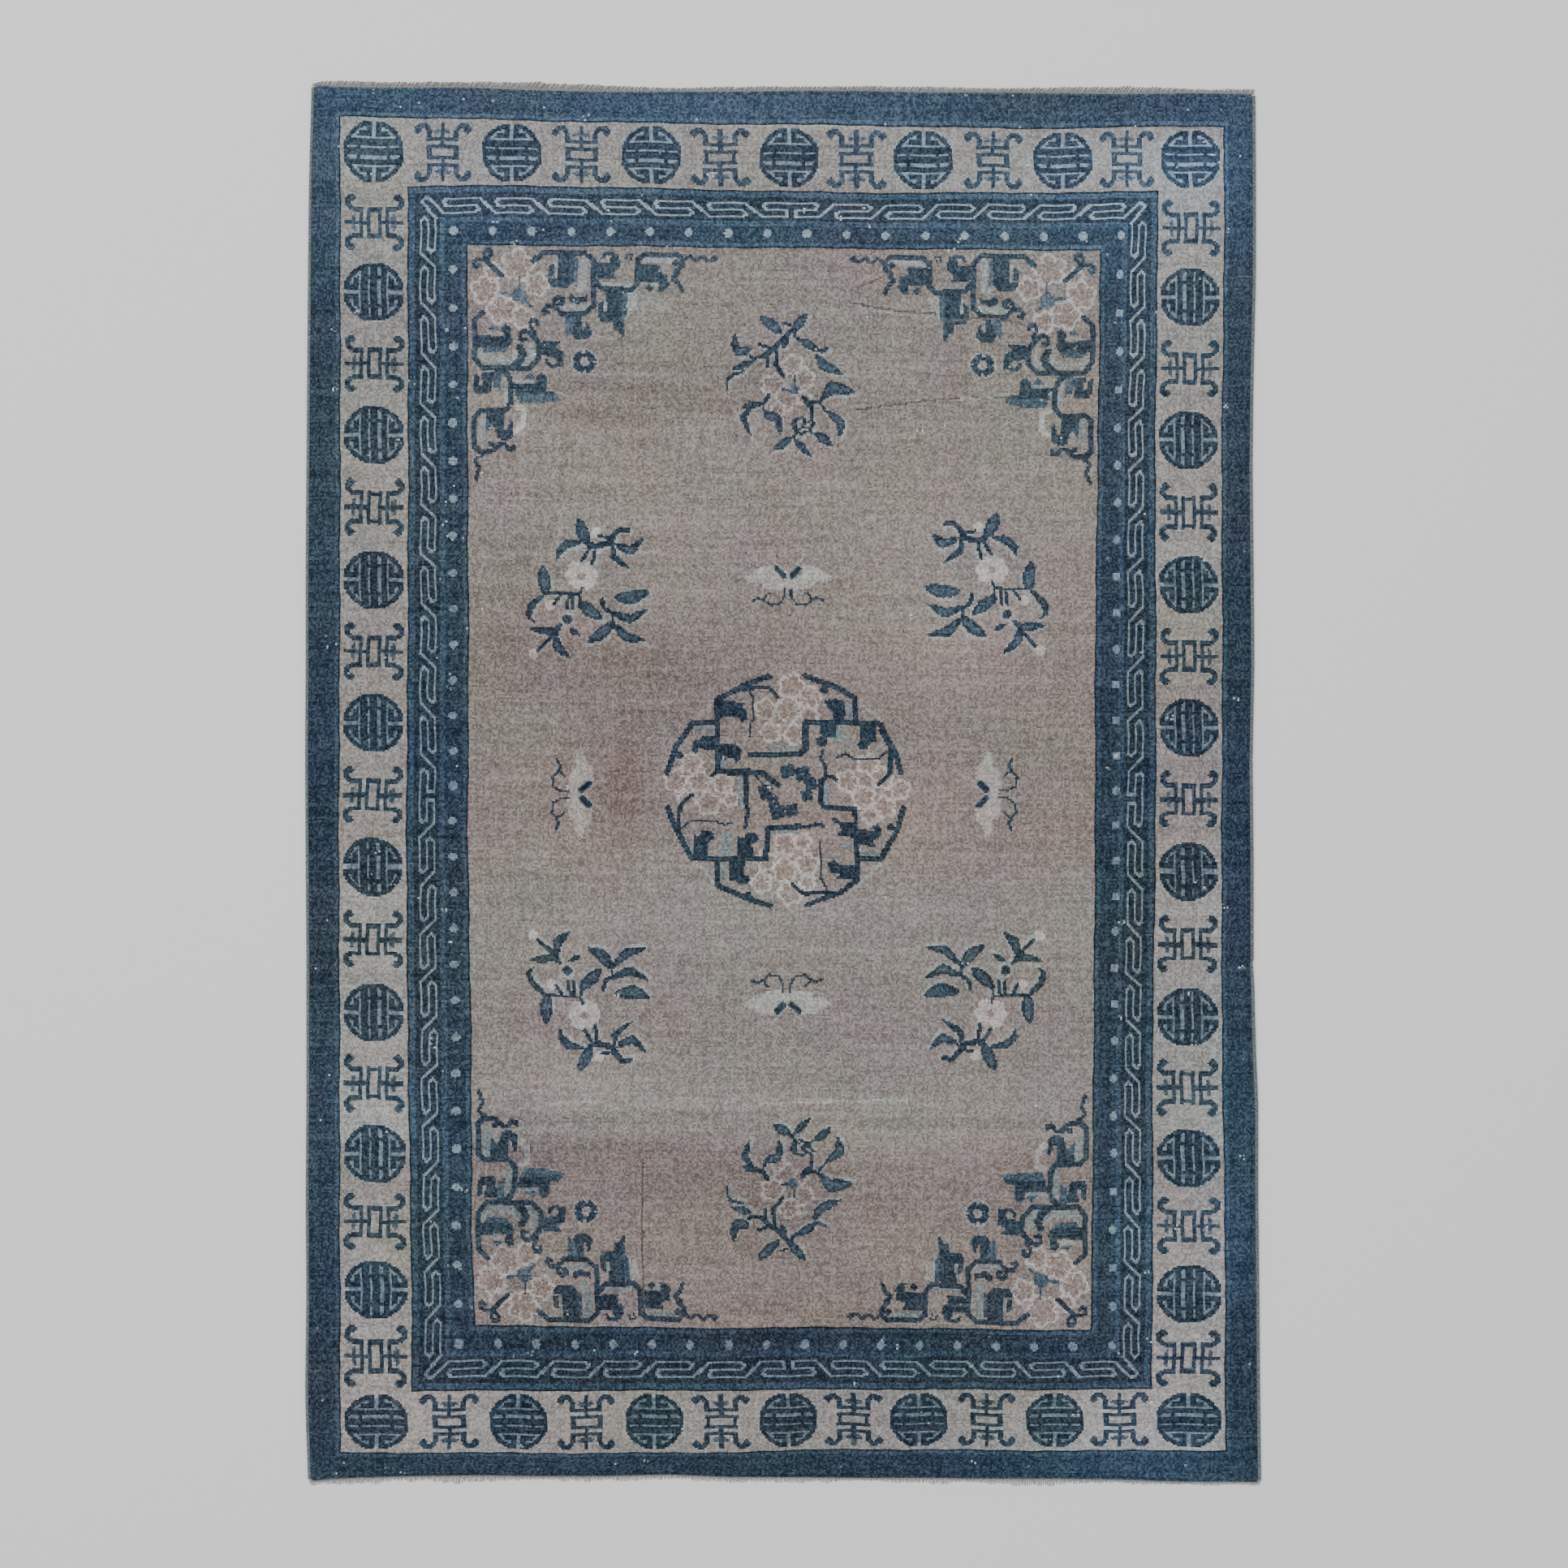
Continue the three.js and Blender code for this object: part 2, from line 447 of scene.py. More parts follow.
@dataclass
class Borders:
    """The outer band, the border of long-life signs, and the inner border of hooked meander and dots."""

    round_columns: ClassVar[tuple[float, ...]] = (36, 112, 188, 263, 336, 412, 484)
    round_rows: ClassVar[tuple[float, ...]] = (114, 194, 275, 355, 435.5, 517, 596, 672)
    sign_middle: float = 36
    # How many whole hooks run from a corner, and the column and row where they meet their mirror images
    hooks_across: int = 6
    hooks_along: int = 11
    meeting: ClassVar[Point] = (263.5, 395.5)
    strand: float = 1.55
    dots_across: int = 18
    dots_along: int = 31
    dot_inset: float = 79.5
    dot_last_column: float = 444
    dot_last_row: float = 701.5
    dot_radius: float = 2.3
    dot_drift: float = 0.008
    # Each band's inset and yarn
    band_yarns: ClassVar[tuple] = (
        (0, Yarn.NAVY),
        (1, Yarn.DEEP),
        (2, Yarn.NAVY),
        (OUTER_BAND - 3, Yarn.STRIPE),
        (OUTER_BAND - 1, Yarn.OUTLINE),
        (OUTER_BAND, Yarn.BEIGE),
        (SIGN_BORDER, Yarn.OUTLINE),
        (SIGN_BORDER + 1, Yarn.STRIPE),
        (SIGN_BORDER + 4, Yarn.DEEP),
        (SIGN_BORDER + 18, Yarn.STRIPE),
        (SIGN_BORDER + 21, Yarn.NAVY),
        (FIELD_EDGE - 3, Yarn.STRIPE),
        (FIELD_EDGE - 1, Yarn.OUTLINE),
        (FIELD_EDGE, Yarn.FIELD),
    )

    def chart(self, chart: Chart) -> None:
        """Charts the bands, then what stands on them.

        Args:
            chart: The chart to fill.
        """
        for inset, yarn in self.band_yarns:
            chart.knots[inset : ROWS - inset, inset : COLUMNS - inset] = yarn
        self.signs(chart)
        self.meander(chart)
        self.dots(chart)

    def signs(self, chart: Chart) -> None:
        """Charts round and open signs by turns along all four sides.

        Args:
            chart: The chart to draw on.
        """
        rows = (self.sign_middle, *self.round_rows, ROWS - self.sign_middle)
        for flip in (False, True):
            row = ROWS - self.sign_middle if flip else self.sign_middle
            for column in self.round_columns:
                self.round_sign(Pen(chart, column, row, flip_along=flip))
            for before, after in zip(self.round_columns, self.round_columns[1:]):
                self.open_sign(Pen(chart, (before + after) / 2, row, flip_along=flip))
            column = COLUMNS - self.sign_middle if flip else self.sign_middle
            for row in self.round_rows:
                self.round_sign(Pen(chart, column, row, 3, flip_along=flip))
            for before, after in zip(rows, rows[1:]):
                self.open_sign(Pen(chart, column, (before + after) / 2, 3, flip_along=flip))

    def round_sign(self, pen: Pen) -> None:
        """Charts the round long-life sign.

        Args:
            pen: Set to its middle.
        """
        for radius, yarn in ((17.3, Yarn.HAZE), (16.5, Yarn.DEEP), (13.8, Yarn.LIGHT)):
            pen.blob(radius, yarn, (0, 0))
        for top, bottom in ((-6.9, -3.4), (-2, 2), (3.6, 7)):
            pen.box(Yarn.DEEP, -14.4, top, 14.4, bottom)
        for side in (-1, 1):
            pen.box(Yarn.DEEP, side * 6.8, -3.6, side * 9.2, 3.8)
            for end in (-1, 1):
                pen.box(Yarn.DEEP, side * 1.4, end * 9.4, side * 4.4, end * 15.4)
                pen.shape(Yarn.DEEP, *mirrored(((1.4, 8.4), (9.2, 8.4), (7, 11.2), (1.4, 11.2)), side, end))
        for end in (-1, 1):
            pen.box(Yarn.LIGHT, -1.4, end * 8.3, 1.4, end * 15.6)
            pen.box(Yarn.BEIGE, -1.2, end * 13.6, 1.2, end * 17.6)

    def open_sign(self, pen: Pen) -> None:
        """Charts the open long-life sign with its four curled arms.

        Args:
            pen: Set to its middle.
        """
        arm = ((7.8, 7), (7.8, 11.8), (9.8, 14.4), (12.8, 14.8), (14.6, 12.8))
        for end in (-1, 1):
            for side in (-1, 1):
                pen.line(4, Yarn.HAZE, *mirrored(arm, side, end))
                pen.line(2.7, Yarn.INDIGO, *mirrored(arm, side, end))
                pen.blob(2.2, Yarn.INDIGO, (side * 14, end * 12.6))
            pen.line(2, Yarn.HAZE, (-7, end * 5), (7, end * 5))
            pen.line(2.4, Yarn.INDIGO, (-8, end * 7.2), (8, end * 7.2))
            pen.line(2.4, Yarn.INDIGO, (-8, end * 2.9), (8, end * 2.9))
            pen.line(2.8, Yarn.INDIGO, (0, end * 3), (0, end * 15))
            pen.line(2.6, Yarn.SHADE, (-3.4, end * 10.8), (3.4, end * 10.8))
            pen.line(2, Yarn.INDIGO, (0, end * 9), (0, end * 13))
        for side in (-1, 1):
            pen.line(2.4, Yarn.INDIGO, (side * 7.6, -2.8), (side * 7.6, 2.8))

    def meander(self, chart: Chart) -> None:
        """Charts the hooked meander round all four sides.

        Args:
            chart: The chart to draw on.
        """
        first_across, first_along = 20, 18.2
        for pen in corners(chart, SIGN_BORDER):
            pen.line(self.strand, Yarn.SKY, (20, 15.8), (11.8, 7.2), (9, 7.2), (7.4, 9), (15.8, 18.2))
            self.hooks(pen, first_across, abs(self.meeting[0] - pen.column), self.hooks_across, False)
            self.hooks(pen, first_along, abs(self.meeting[1] - pen.row), self.hooks_along, True)

    def hooks(self, pen: Pen, start: float, end: float, count: int, along: bool) -> None:
        """Charts one run of hooks, from a corner to the middle of a side, where it meets its mirror image.

        Args:
            pen: Set to the border's corner.
            start: Where the first hook begins.
            end: The middle of the side.
            count: How many whole hooks there are.
            along: Whether the run goes along the rug's length.
        """
        low, slope, middle, turn, high = 15.7, 13.7, 11.6, 9.3, 7.5
        last_hook = 15.5
        pitch = (end - last_hook - start) / count

        def run(*points: Point) -> None:
            """Knots a strand.

            Args:
                points: Its corners, along the run and in from the border's edge.
            """
            pen.line(self.strand, Yarn.SKY, *[(v, u) if along else (u, v) for u, v in points])

        for index in range(count):
            u = start + pitch * index
            bend, tip = u + pitch * 0.62, u + pitch * 0.7
            run((u, low), (bend, low), (tip, slope), (bend, middle), (u + 1.6, middle))
            run((u + 1.6, middle), (u - 0.4, turn), (u + 1.6, high), (tip, high), (u + pitch, low))
        u = start + pitch * count
        run((u, low), (end - 2.6, low), (end - 2.6, middle), (u + 2.6, middle))
        run((u + 2.6, middle), (u + 0.6, turn), (u + 2.6, high), (end, high))

    def dots(self, chart: Chart) -> None:
        """Charts the row of dots inside the meander.

        Args:
            chart: The chart to draw on.
        """
        pen = Pen(chart, 0, 0)
        last_column, last_row = self.dot_last_column, self.dot_last_row
        for index in range(self.dots_across):
            column = self.dot_inset + (last_column - self.dot_inset) * index / (self.dots_across - 1)
            pen.blob(self.dot_radius, Yarn.SKY, (column, self.dot_inset), (column, last_row))
        for index in range(1, self.dots_along - 1):
            share = index / (self.dots_along - 1)
            share += self.dot_drift * math.sin(math.tau * share)
            row = self.dot_inset + (last_row - self.dot_inset) * share
            pen.blob(self.dot_radius, Yarn.SKY, (self.dot_inset, row), (last_column, row))


@dataclass
class Spandrels:
    """The scrolling hooked frets and flowers that fill the field's four corners."""

    # Fret lines of the arm across the rug, then of the arm along it
    frets: ClassVar[tuple] = (
        (3.0, (35.7, 8.1), (41.4, 3.2), (63.2, 3.2), (68.3, 7.6), (68.3, 33.6), (64.2, 37.2),
         (50.9, 37.2)),
        (3.0, (68.4, 17.4), (73, 23.4), (89.2, 24.2), (92.6, 20.6), (92.6, 7.5), (96.1, 4.1),
         (113.8, 4.1), (117, 7.5)),
        (2.8, (117, 7.5), (116.4, 11.6), (113, 14)),
        (2.0, (117.5, 7), (121, 5), (124, 7.6), (127, 4.6), (131, 7.6), (134.5, 5.6)),
        (2.6, (114.7, 14.8), (112.2, 17.4), (114.7, 20.5), (116.3, 24.4)),
        (2.3, (50.9, 36.6), (47.9, 34.4), (46.8, 30.8), (48.9, 28.2), (51.6, 28.8), (51.8, 30.8),
         (50.4, 32.2)),
        (2.3, (47.9, 33.6), (43, 33.5), (41, 35.9), (42.3, 37.8), (44.3, 36.8)),
        (3.0, (8.3, 37.4), (3.3, 42.2), (3.3, 62.8), (7.8, 68.4), (33.4, 68.4), (38.6, 62.4),
         (37.8, 53), (33.8, 48.8)),
        (2.4, (35.7, 48.4), (33.8, 43.7), (35.2, 40.8), (37.8, 41.7), (37.7, 44)),
        (2.4, (33.8, 48.8), (29.8, 46.9), (28, 49.4), (28.6, 52.8), (31, 51.8)),
        (3.0, (14.9, 69.6), (21.4, 71.8), (23.4, 77.2), (23.4, 88.4), (20, 92.6), (6.8, 92.8),
         (3.3, 95.8), (3.3, 112.2), (6.2, 115.4), (13.4, 115)),
        (2.6, (13.4, 115), (17, 111.4), (20, 110.9), (22.5, 114.2), (24.8, 112.4)),
        (2.2, (8.5, 116.4), (3.9, 120), (6.2, 124.6), (4.2, 130.6)),
        (1.2, (86, 6.6), (87, 4.2), (89.4, 5), (88, 8)),
    )
    pale_strips: ClassVar[tuple] = (
        (4.2, (62.8, 7.4), (63.2, 20), (61, 24)),
        (1.5, (48.2, 8.4), (48.4, 17)),
        (2.6, (71.6, 20), (75, 21.4), (88.4, 22)),
        (2.8, (96, 8.2), (99, 7.2), (112, 7.2)),
        (3.2, (51.4, 33.8), (64.8, 33.6)),
        (3.6, (7, 61), (10, 64.4), (22, 64.8), (25.6, 61)),
        (3.0, (33.6, 55), (34.4, 61), (30.6, 66)),
        (3.0, (8, 95.6), (8, 108.6)),
        (2.6, (19.8, 73.6), (20.8, 78), (20.4, 88)),
        (1.6, (74.8, 28.4), (74.8, 35.2)),
        (1.8, (106, 20.6), (101, 21.4)),
    )
    # Filled hooks: each yarn and outline
    hooks: ClassVar[tuple] = (
        (Yarn.INDIGO, (49.2, 4.4), (58.2, 4.4), (58.2, 19), (55.4, 22.6), (47, 23), (44.4, 20.6),
         (44.4, 17.8), (49.2, 17.6)),
        (Yarn.SHADE, (58, 5.6), (60.4, 5.6), (60.4, 22), (59.6, 19.6), (58, 19.4)),
        (Yarn.INDIGO, (44.4, 11), (46.8, 9.8), (47.2, 16.4), (44.4, 17)),
        (Yarn.INDIGO, (57, 26), (59, 28), (65, 27.4), (64.8, 31.4), (58, 31.6), (54.8, 29.4), (54.8, 27)),
        (Yarn.SHADE, (52.6, 39), (60, 38.6), (58.6, 48), (55.4, 47), (53.4, 50.4)),
        (Yarn.INDIGO, (59.2, 39), (61.6, 39), (61.8, 46.6), (63.4, 47.4), (63.6, 42), (66.4, 43.2),
         (66.6, 50.4), (64, 52), (57.6, 51.6), (56, 48)),
        (Yarn.INDIGO, (69.6, 8.6), (77, 8.6), (78, 3), (81.6, 4), (83, 8.4), (82.6, 12), (79.4, 14),
         (81, 18), (70.6, 17.6)),
        (Yarn.INDIGO, (72.4, 6.6), (73.4, 3.6), (78, 3), (79, 4.4), (75, 5.4), (73.6, 7.4)),
        (Yarn.INDIGO, (93.4, 9.8), (105.4, 10.2), (103.6, 13.8), (109, 15.6), (109.8, 22), (107, 24.8),
         (103.4, 24.6), (104.4, 21.4), (103, 19.8), (93.4, 20)),
        (Yarn.INDIGO, (74.8, 24.4), (84, 24.4), (84.6, 44), (85.4, 51.8), (83.4, 50.6), (81.8, 47.2),
         (79.4, 46.6), (79.4, 42.4), (73, 42.4), (71, 39.6), (71.2, 32), (73.6, 30.4), (74, 35.8),
         (76, 36)),
        (Yarn.SHADE, (83.6, 25.6), (86.8, 26.4), (86.8, 39), (84.4, 41.4), (85.2, 49), (83.6, 44)),
        (Yarn.INDIGO, (5, 50.4), (18.6, 50.6), (18.2, 46), (20.4, 44.4), (23.2, 45.6), (23.6, 54),
         (21.4, 57.2), (5, 57)),
        (Yarn.SHADE, (6.6, 57), (21.4, 57), (20, 59.8), (8.6, 60.2)),
        (Yarn.INDIGO, (38, 61), (38.6, 55.4), (41, 52.6), (50.2, 52.6), (47.6, 56.4), (52, 58.4),
         (52, 66.6), (46.4, 67.4), (48.4, 62.8), (43, 61.4)),
        (Yarn.INDIGO, (2.8, 72.4), (5.4, 71.6), (5.8, 78), (7.6, 78.4), (7.4, 70.6), (13.6, 70.6),
         (13.4, 81), (10.6, 83.4), (4.6, 83), (2.8, 80.4)),
        (Yarn.SHADE, (13.6, 70.8), (17.8, 71.4), (17.8, 82), (16, 79.6), (13.6, 80.4)),
        (Yarn.INDIGO, (25.2, 77), (37, 77.4), (37, 73), (39.4, 71.4), (42.6, 72.8), (43.2, 80.6),
         (48, 81.6), (49.6, 83.4), (26, 83.8)),
        (Yarn.SHADE, (26, 83.4), (49.4, 83.2), (51.4, 86.2), (42.8, 87), (40, 88.4), (28.4, 88.2)),
        (Yarn.INDIGO, (9.8, 94), (19.6, 94.4), (19.6, 103), (22.4, 103.4), (22.6, 96.4), (25, 98.4),
         (25, 106.4), (22, 108.8), (16.4, 108.4), (14.6, 102), (10, 99.4)),
        (Yarn.SHADE, (10, 98), (14.8, 99.4), (12, 103), (10.6, 106)),
    )

    def chart(self, chart: Chart) -> None:
        """Charts the four corners.

        Args:
            chart: The chart to draw on.
        """
        for pen in corners(chart, FIELD_EDGE):
            self.flowers(pen)
            pen.strokes(Yarn.PALE, self.pale_strips)
            pen.strokes(Yarn.INDIGO, self.frets)
            for yarn, *outline in self.hooks:
                pen.shape(yarn, *outline)
            self.details(pen)

    def flowers(self, pen: Pen) -> None:
        """Charts the corner's peonies, its forked twig and its thorn.

        Args:
            pen: Set to the corner.
        """
        pen.peony(
            (38, 21.4, 7.4), (27, 10.6, 9.6), (13.6, 15, 5.6), (9.6, 25, 8.6), (30, 40, 7), (18.4, 36, 9)
        )
        pen.line(
            2.3, Yarn.INDIGO, (19, 17.4), (9.9, 8.4), (8.9, 5), (9.9, 2.4), (12.6, 2.6), (13, 5), (11.8, 6.4)
        )
        pen.line(2.3, Yarn.INDIGO, (9.9, 8.4), (5.8, 7.8), (3, 9.2), (2.7, 11.6), (4.3, 12.5), (6.2, 10.8))
        pen.shape(Yarn.MID, (23.5, 27.7), (27.1, 23), (31.7, 25.1), (32.6, 32), (24.6, 30.8))
        for root, tip in (((28.6, 24), (28.6, 17.6)), ((24, 27.4), (18.2, 27)), ((31.8, 31.4), (34, 33.8))):
            pen.line(1.5, Yarn.SHADE, root, tip)

    def details(self, pen: Pen) -> None:
        """Charts the pointed tips, the light notches and the ring flower.

        Args:
            pen: Set to the corner.
        """
        pen.box(Yarn.ROSE, 7.4, 83.6, 19.4, 90)
        pen.box(Yarn.PALE, 26.4, 75, 36.4, 76.8)
        pen.box(Yarn.HAZE, 9.6, 48, 17.6, 49.8)
        pen.box(Yarn.HAZE, 74.8, 5.4, 77.2, 7.4)
        pen.shape(Yarn.HAZE, (87, 26), (92.6, 27), (92, 36), (87.2, 39))
        pen.line(3.2, Yarn.CREAM, (27, 90), (30.4, 91.4), (30.8, 99), (27, 103))
        pen.line(4.2, Yarn.INDIGO, (28, 56.8), (29.8, 60), (28.8, 64), (25.4, 67))
        pen.line(2.2, Yarn.INDIGO, (46.6, 67), (44, 66.4), (43, 64))
        for u, v in ((10.4, 47.4), (30.2, 74.6)):
            pen.shape(
                Yarn.SHADE, (u, v), (u + 1.4, v - 2), (u + 3.4, v - 3.2), (u + 5.2, v - 2), (u + 6.2, v)
            )
        pen.blob(1.9, Yarn.INDIGO, (134, 5.8), (113, 9), (12.7, 111.6), (99, 22.8), (24, 113.4))
        ring = (63.2, 64.6)
        pen.blob(7.6, Yarn.HAZE, ring)
        pen.blob(6.4, Yarn.INDIGO, ring)
        pen.blob(0.9, Yarn.HAZE, (57.6, 64.6), (68.8, 64.6), (63.2, 59), (63.2, 70.2))
        pen.blob(2.5, Yarn.HAZE, ring)
        pen.box(Yarn.FIELD, 62.2, 63.6, 64.2, 65.6)


@dataclass
class Sprigs:
    """The flowering sprigs set round the field."""

    tall_places: ClassVar[tuple] = ((262.6, 163.4, False), (262.6, 616, True))
    side_places: ClassVar[tuple] = (
        (153.5, 279, False, False),
        (371.8, 274.4, True, False),
        (153.5, 510.4, False, True),
        (371.8, 508.2, True, True),
    )
    tall_leaves: ClassVar[tuple] = (
        (6.2, (-4.5, -28.6), (-15.4, -37)),
        (5.5, (1.8, -28.6), (9.8, -38)),
        (3.8, (-0.6, -26), (-2.6, -19.6)),
        (4.3, (-28.8, -16.6), (-29.4, -27.4)),
        (5.5, (-29, -17), (-20.6, -19)),
        (4.3, (-19.6, -11.8), (-30, -8.4)),
        (2.2, (-24, -6.6), (-30.8, -4.6), (-33.2, -1.6), (-33, 3)),
        (5.2, (7.1, -23.8), (16.4, -18.2)),
        (2.4, (15, -18), (18, -18), (21.8, -20.2)),
        (5.5, (15.6, -15.5), (19, -10), (29.6, -5)),
        (7.2, (19.2, 8), (24, 2.6), (36, 4.6)),
        (5.5, (22.3, 16.4), (29, 22), (28.4, 29.6)),
        (4.3, (-17.4, 12.2), (-24.4, 13.8)),
        (3.8, (-20, 14.4), (-24, 19.6), (-20.4, 28.8)),
        (5.7, (-12, 17.6), (-3.4, 19.6)),
        (4.0, (-4.6, 18.6), (-4.2, 28.6)),
        (5.2, (1.8, 31.6), (-7.2, 37.4)),
        (4.1, (4, 31.6), (12.7, 40.8)),
        (5.3, (16, 28.6), (24.4, 35)),
        (3.1, (8.4, 8.2), (11.6, 13.4)),
        (4.0, (3.6, 21), (3.8, 27)),
    )
    tall_stems: ClassVar[tuple] = (
        (3.0, (1.8, -29), (-4.5, -22.7), (-10.7, -17.3), (-13.4, -14.5)),
        (2.0, (-13.4, -14.5), (-19.6, -13.6), (-21, -15)),
        (1.9, (-16, -21.4), (-10.7, -19.4)),
        (1.8, (-11.6, -15.5), (-11.6, -9.4)),
        (2.2, (-6.6, -18.2), (-7.2, -10), (-2.2, -3.8)),
        (1.8, (2.7, -29), (4, -25), (7.1, -23.2)),
        (1.6, (-2.4, -33.6), (0.4, -32.4)),
        (1.6, (4, -3.6), (3.8, 1.4)),
        (1.5, (-2.7, 3.6), (1, 4.3)),
        (1.9, (8, 8), (12.5, 10.9), (17, 10.5), (20.5, 8)),
        (1.6, (17.9, 11.2), (22.6, 17.4)),
        (2.6, (-10.6, 7.2), (-13.4, 11.4), (-17.4, 12.3)),
        (1.4, (-13.4, 12), (-12, 17.4)),
        (1.5, (13.4, 12.6), (13.4, 20.6), (9.8, 22.8)),
        (1.7, (6.3, 26.4), (1.8, 31.8)),
        (1.5, (12.5, 27.4), (16.4, 29.4)),
        (1.7, (5.4, 20.6), (8.6, 19.4), (10.2, 21.8), (8, 24.6), (12, 25.4), (14.4, 22.6)),
        (1.7, (7.4, 28.6), (10.4, 27.2), (13, 26.8)),
    )
    side_leaves: ClassVar[tuple] = (
        (7.0, (0, -25.6), (-5.8, -38.4)),
        (4.8, (-4, -25.6), (-11.4, -24.4), (-16, -20.4), (-16.6, -16)),
        (5.0, (14.4, -24.4), (23.6, -21.2), (30, -27.6)),
        (3.8, (13.4, -24.6), (13.8, -17.6), (22.8, -11.2)),
        (7.2, (-23.4, 3.2), (-24.6, -12)),
        (3.9, (-24.4, 3.6), (-31.6, 10.4), (-33, 16), (-30.2, 19)),
        (7.0, (-4.6, 8), (7, 17.6)),
        (3.2, (-10.4, 23), (-4.8, 26)),
        (7.6, (15.4, 5), (24, 5.4), (33, 2.4)),
        (5.0, (12.6, 13.6), (22.8, 17.4), (32, 12.4)),
        (6.6, (13, 19.2), (7, 26), (0, 30.2)),
        (5.4, (14, 20.2), (21, 27.6), (31, 29.6)),
        (4.8, (-15.4, 21.2), (-19.2, 24.8), (-32, 23)),
        (5.2, (-18.4, 25.6), (-17, 33), (-10.4, 38.8)),
    )
    side_stems: ClassVar[tuple] = (
        (3.4, (0, -25), (4, -23.4), (12, -25), (14.3, -29.2)),
        (3.0, (14.3, -29.2), (17.6, -33), (22.4, -32.6)),
        (1.9, (6.6, -29), (11.4, -28), (13.6, -29)),
        (2.0, (1, -22.4), (-3.2, -15.8)),
        (2.0, (4, -21.4), (2.7, -13.8)),
        (1.6, (-23.2, 3.2), (-4.9, 2.8), (-3.6, -0.6)),
        (1.6, (-4.9, 2.7), (-4, 10.4)),
        (1.9, (-15.4, 4), (-18.4, 8.8)),
        (1.9, (-10.7, 4.4), (-11.7, 11.4)),
        (1.9, (-8.4, 4.4), (-8.5, 11.4)),
        (2.4, (7.6, 6.6), (8.6, 11.4), (13, 14)),
        (1.8, (13, 14), (13, 20)),
        (2.2, (-17.9, 25.4), (-27.4, 34.6)),
    )

    def chart(self, chart: Chart) -> None:
        """Charts the tall sprigs and the side ones.

        Args:
            chart: The chart to draw on.
        """
        for column, row, flip in self.tall_places:
            pen = Pen(chart, column, row, flip_along=flip)
            pen.peony((-8, 1, 7), (-1, 9.6, 7), (8.4, 8.4, 5), (9, -2.6, 6.4), (2, -10, 6.4), (-5, 15, 5))
            self.stalks(pen, self.tall_leaves, self.tall_stems)
            pen.shape(Yarn.MID, (0.4, 4), (3.6, 0.6), (6.2, 3.6), (5.4, 6.6), (1.3, 6.6))
        for column, row, across, along in self.side_places:
            pen = Pen(chart, column, row, flip_across=across, flip_along=along)
            self.round_flower(pen, -3.1, -7.3)
            pen.blob(3, Yarn.IVORY, (4.6, -31), (-21, 9.6), (-30, 37))
            self.stalks(pen, self.side_leaves, self.side_stems)
            pen.blob(4.6, Yarn.HAZE, (-11.6, 17.3))
            pen.blob(2.7, Yarn.INDIGO, (-11.6, 17.3))

    def round_flower(self, pen: Pen, u: float, v: float) -> None:
        """Charts a round flower of eight petals.

        Args:
            pen: Set to the sprig's middle.
            u: The flower's place across it.
            v: The flower's place along it.
        """
        petals, reach = 8, 5.6
        for petal in range(petals):
            angle = petal * math.tau / petals
            pen.blob(3.4, Yarn.IVORY, (u + reach * math.cos(angle), v + reach * math.sin(angle)))
        pen.blob(5.4, Yarn.IVORY, (u, v))
        pen.blob(2.2, Yarn.ROSE, (u, v))

    def stalks(self, pen: Pen, leaves: tuple, stems: tuple) -> None:
        """Charts one sprig.

        Args:
            pen: Set to its middle.
            leaves: Each leaf's width and spine.
            stems: Each stem's width and corners.
        """
        for width, *points in stems:
            pen.line(width + 1.4, Yarn.HAZE, *[(u + 0.8, v + 0.8) for u, v in points])
        for width, *spine in leaves:
            pen.leaf(width, *spine)
        pen.strokes(Yarn.DARK, stems)


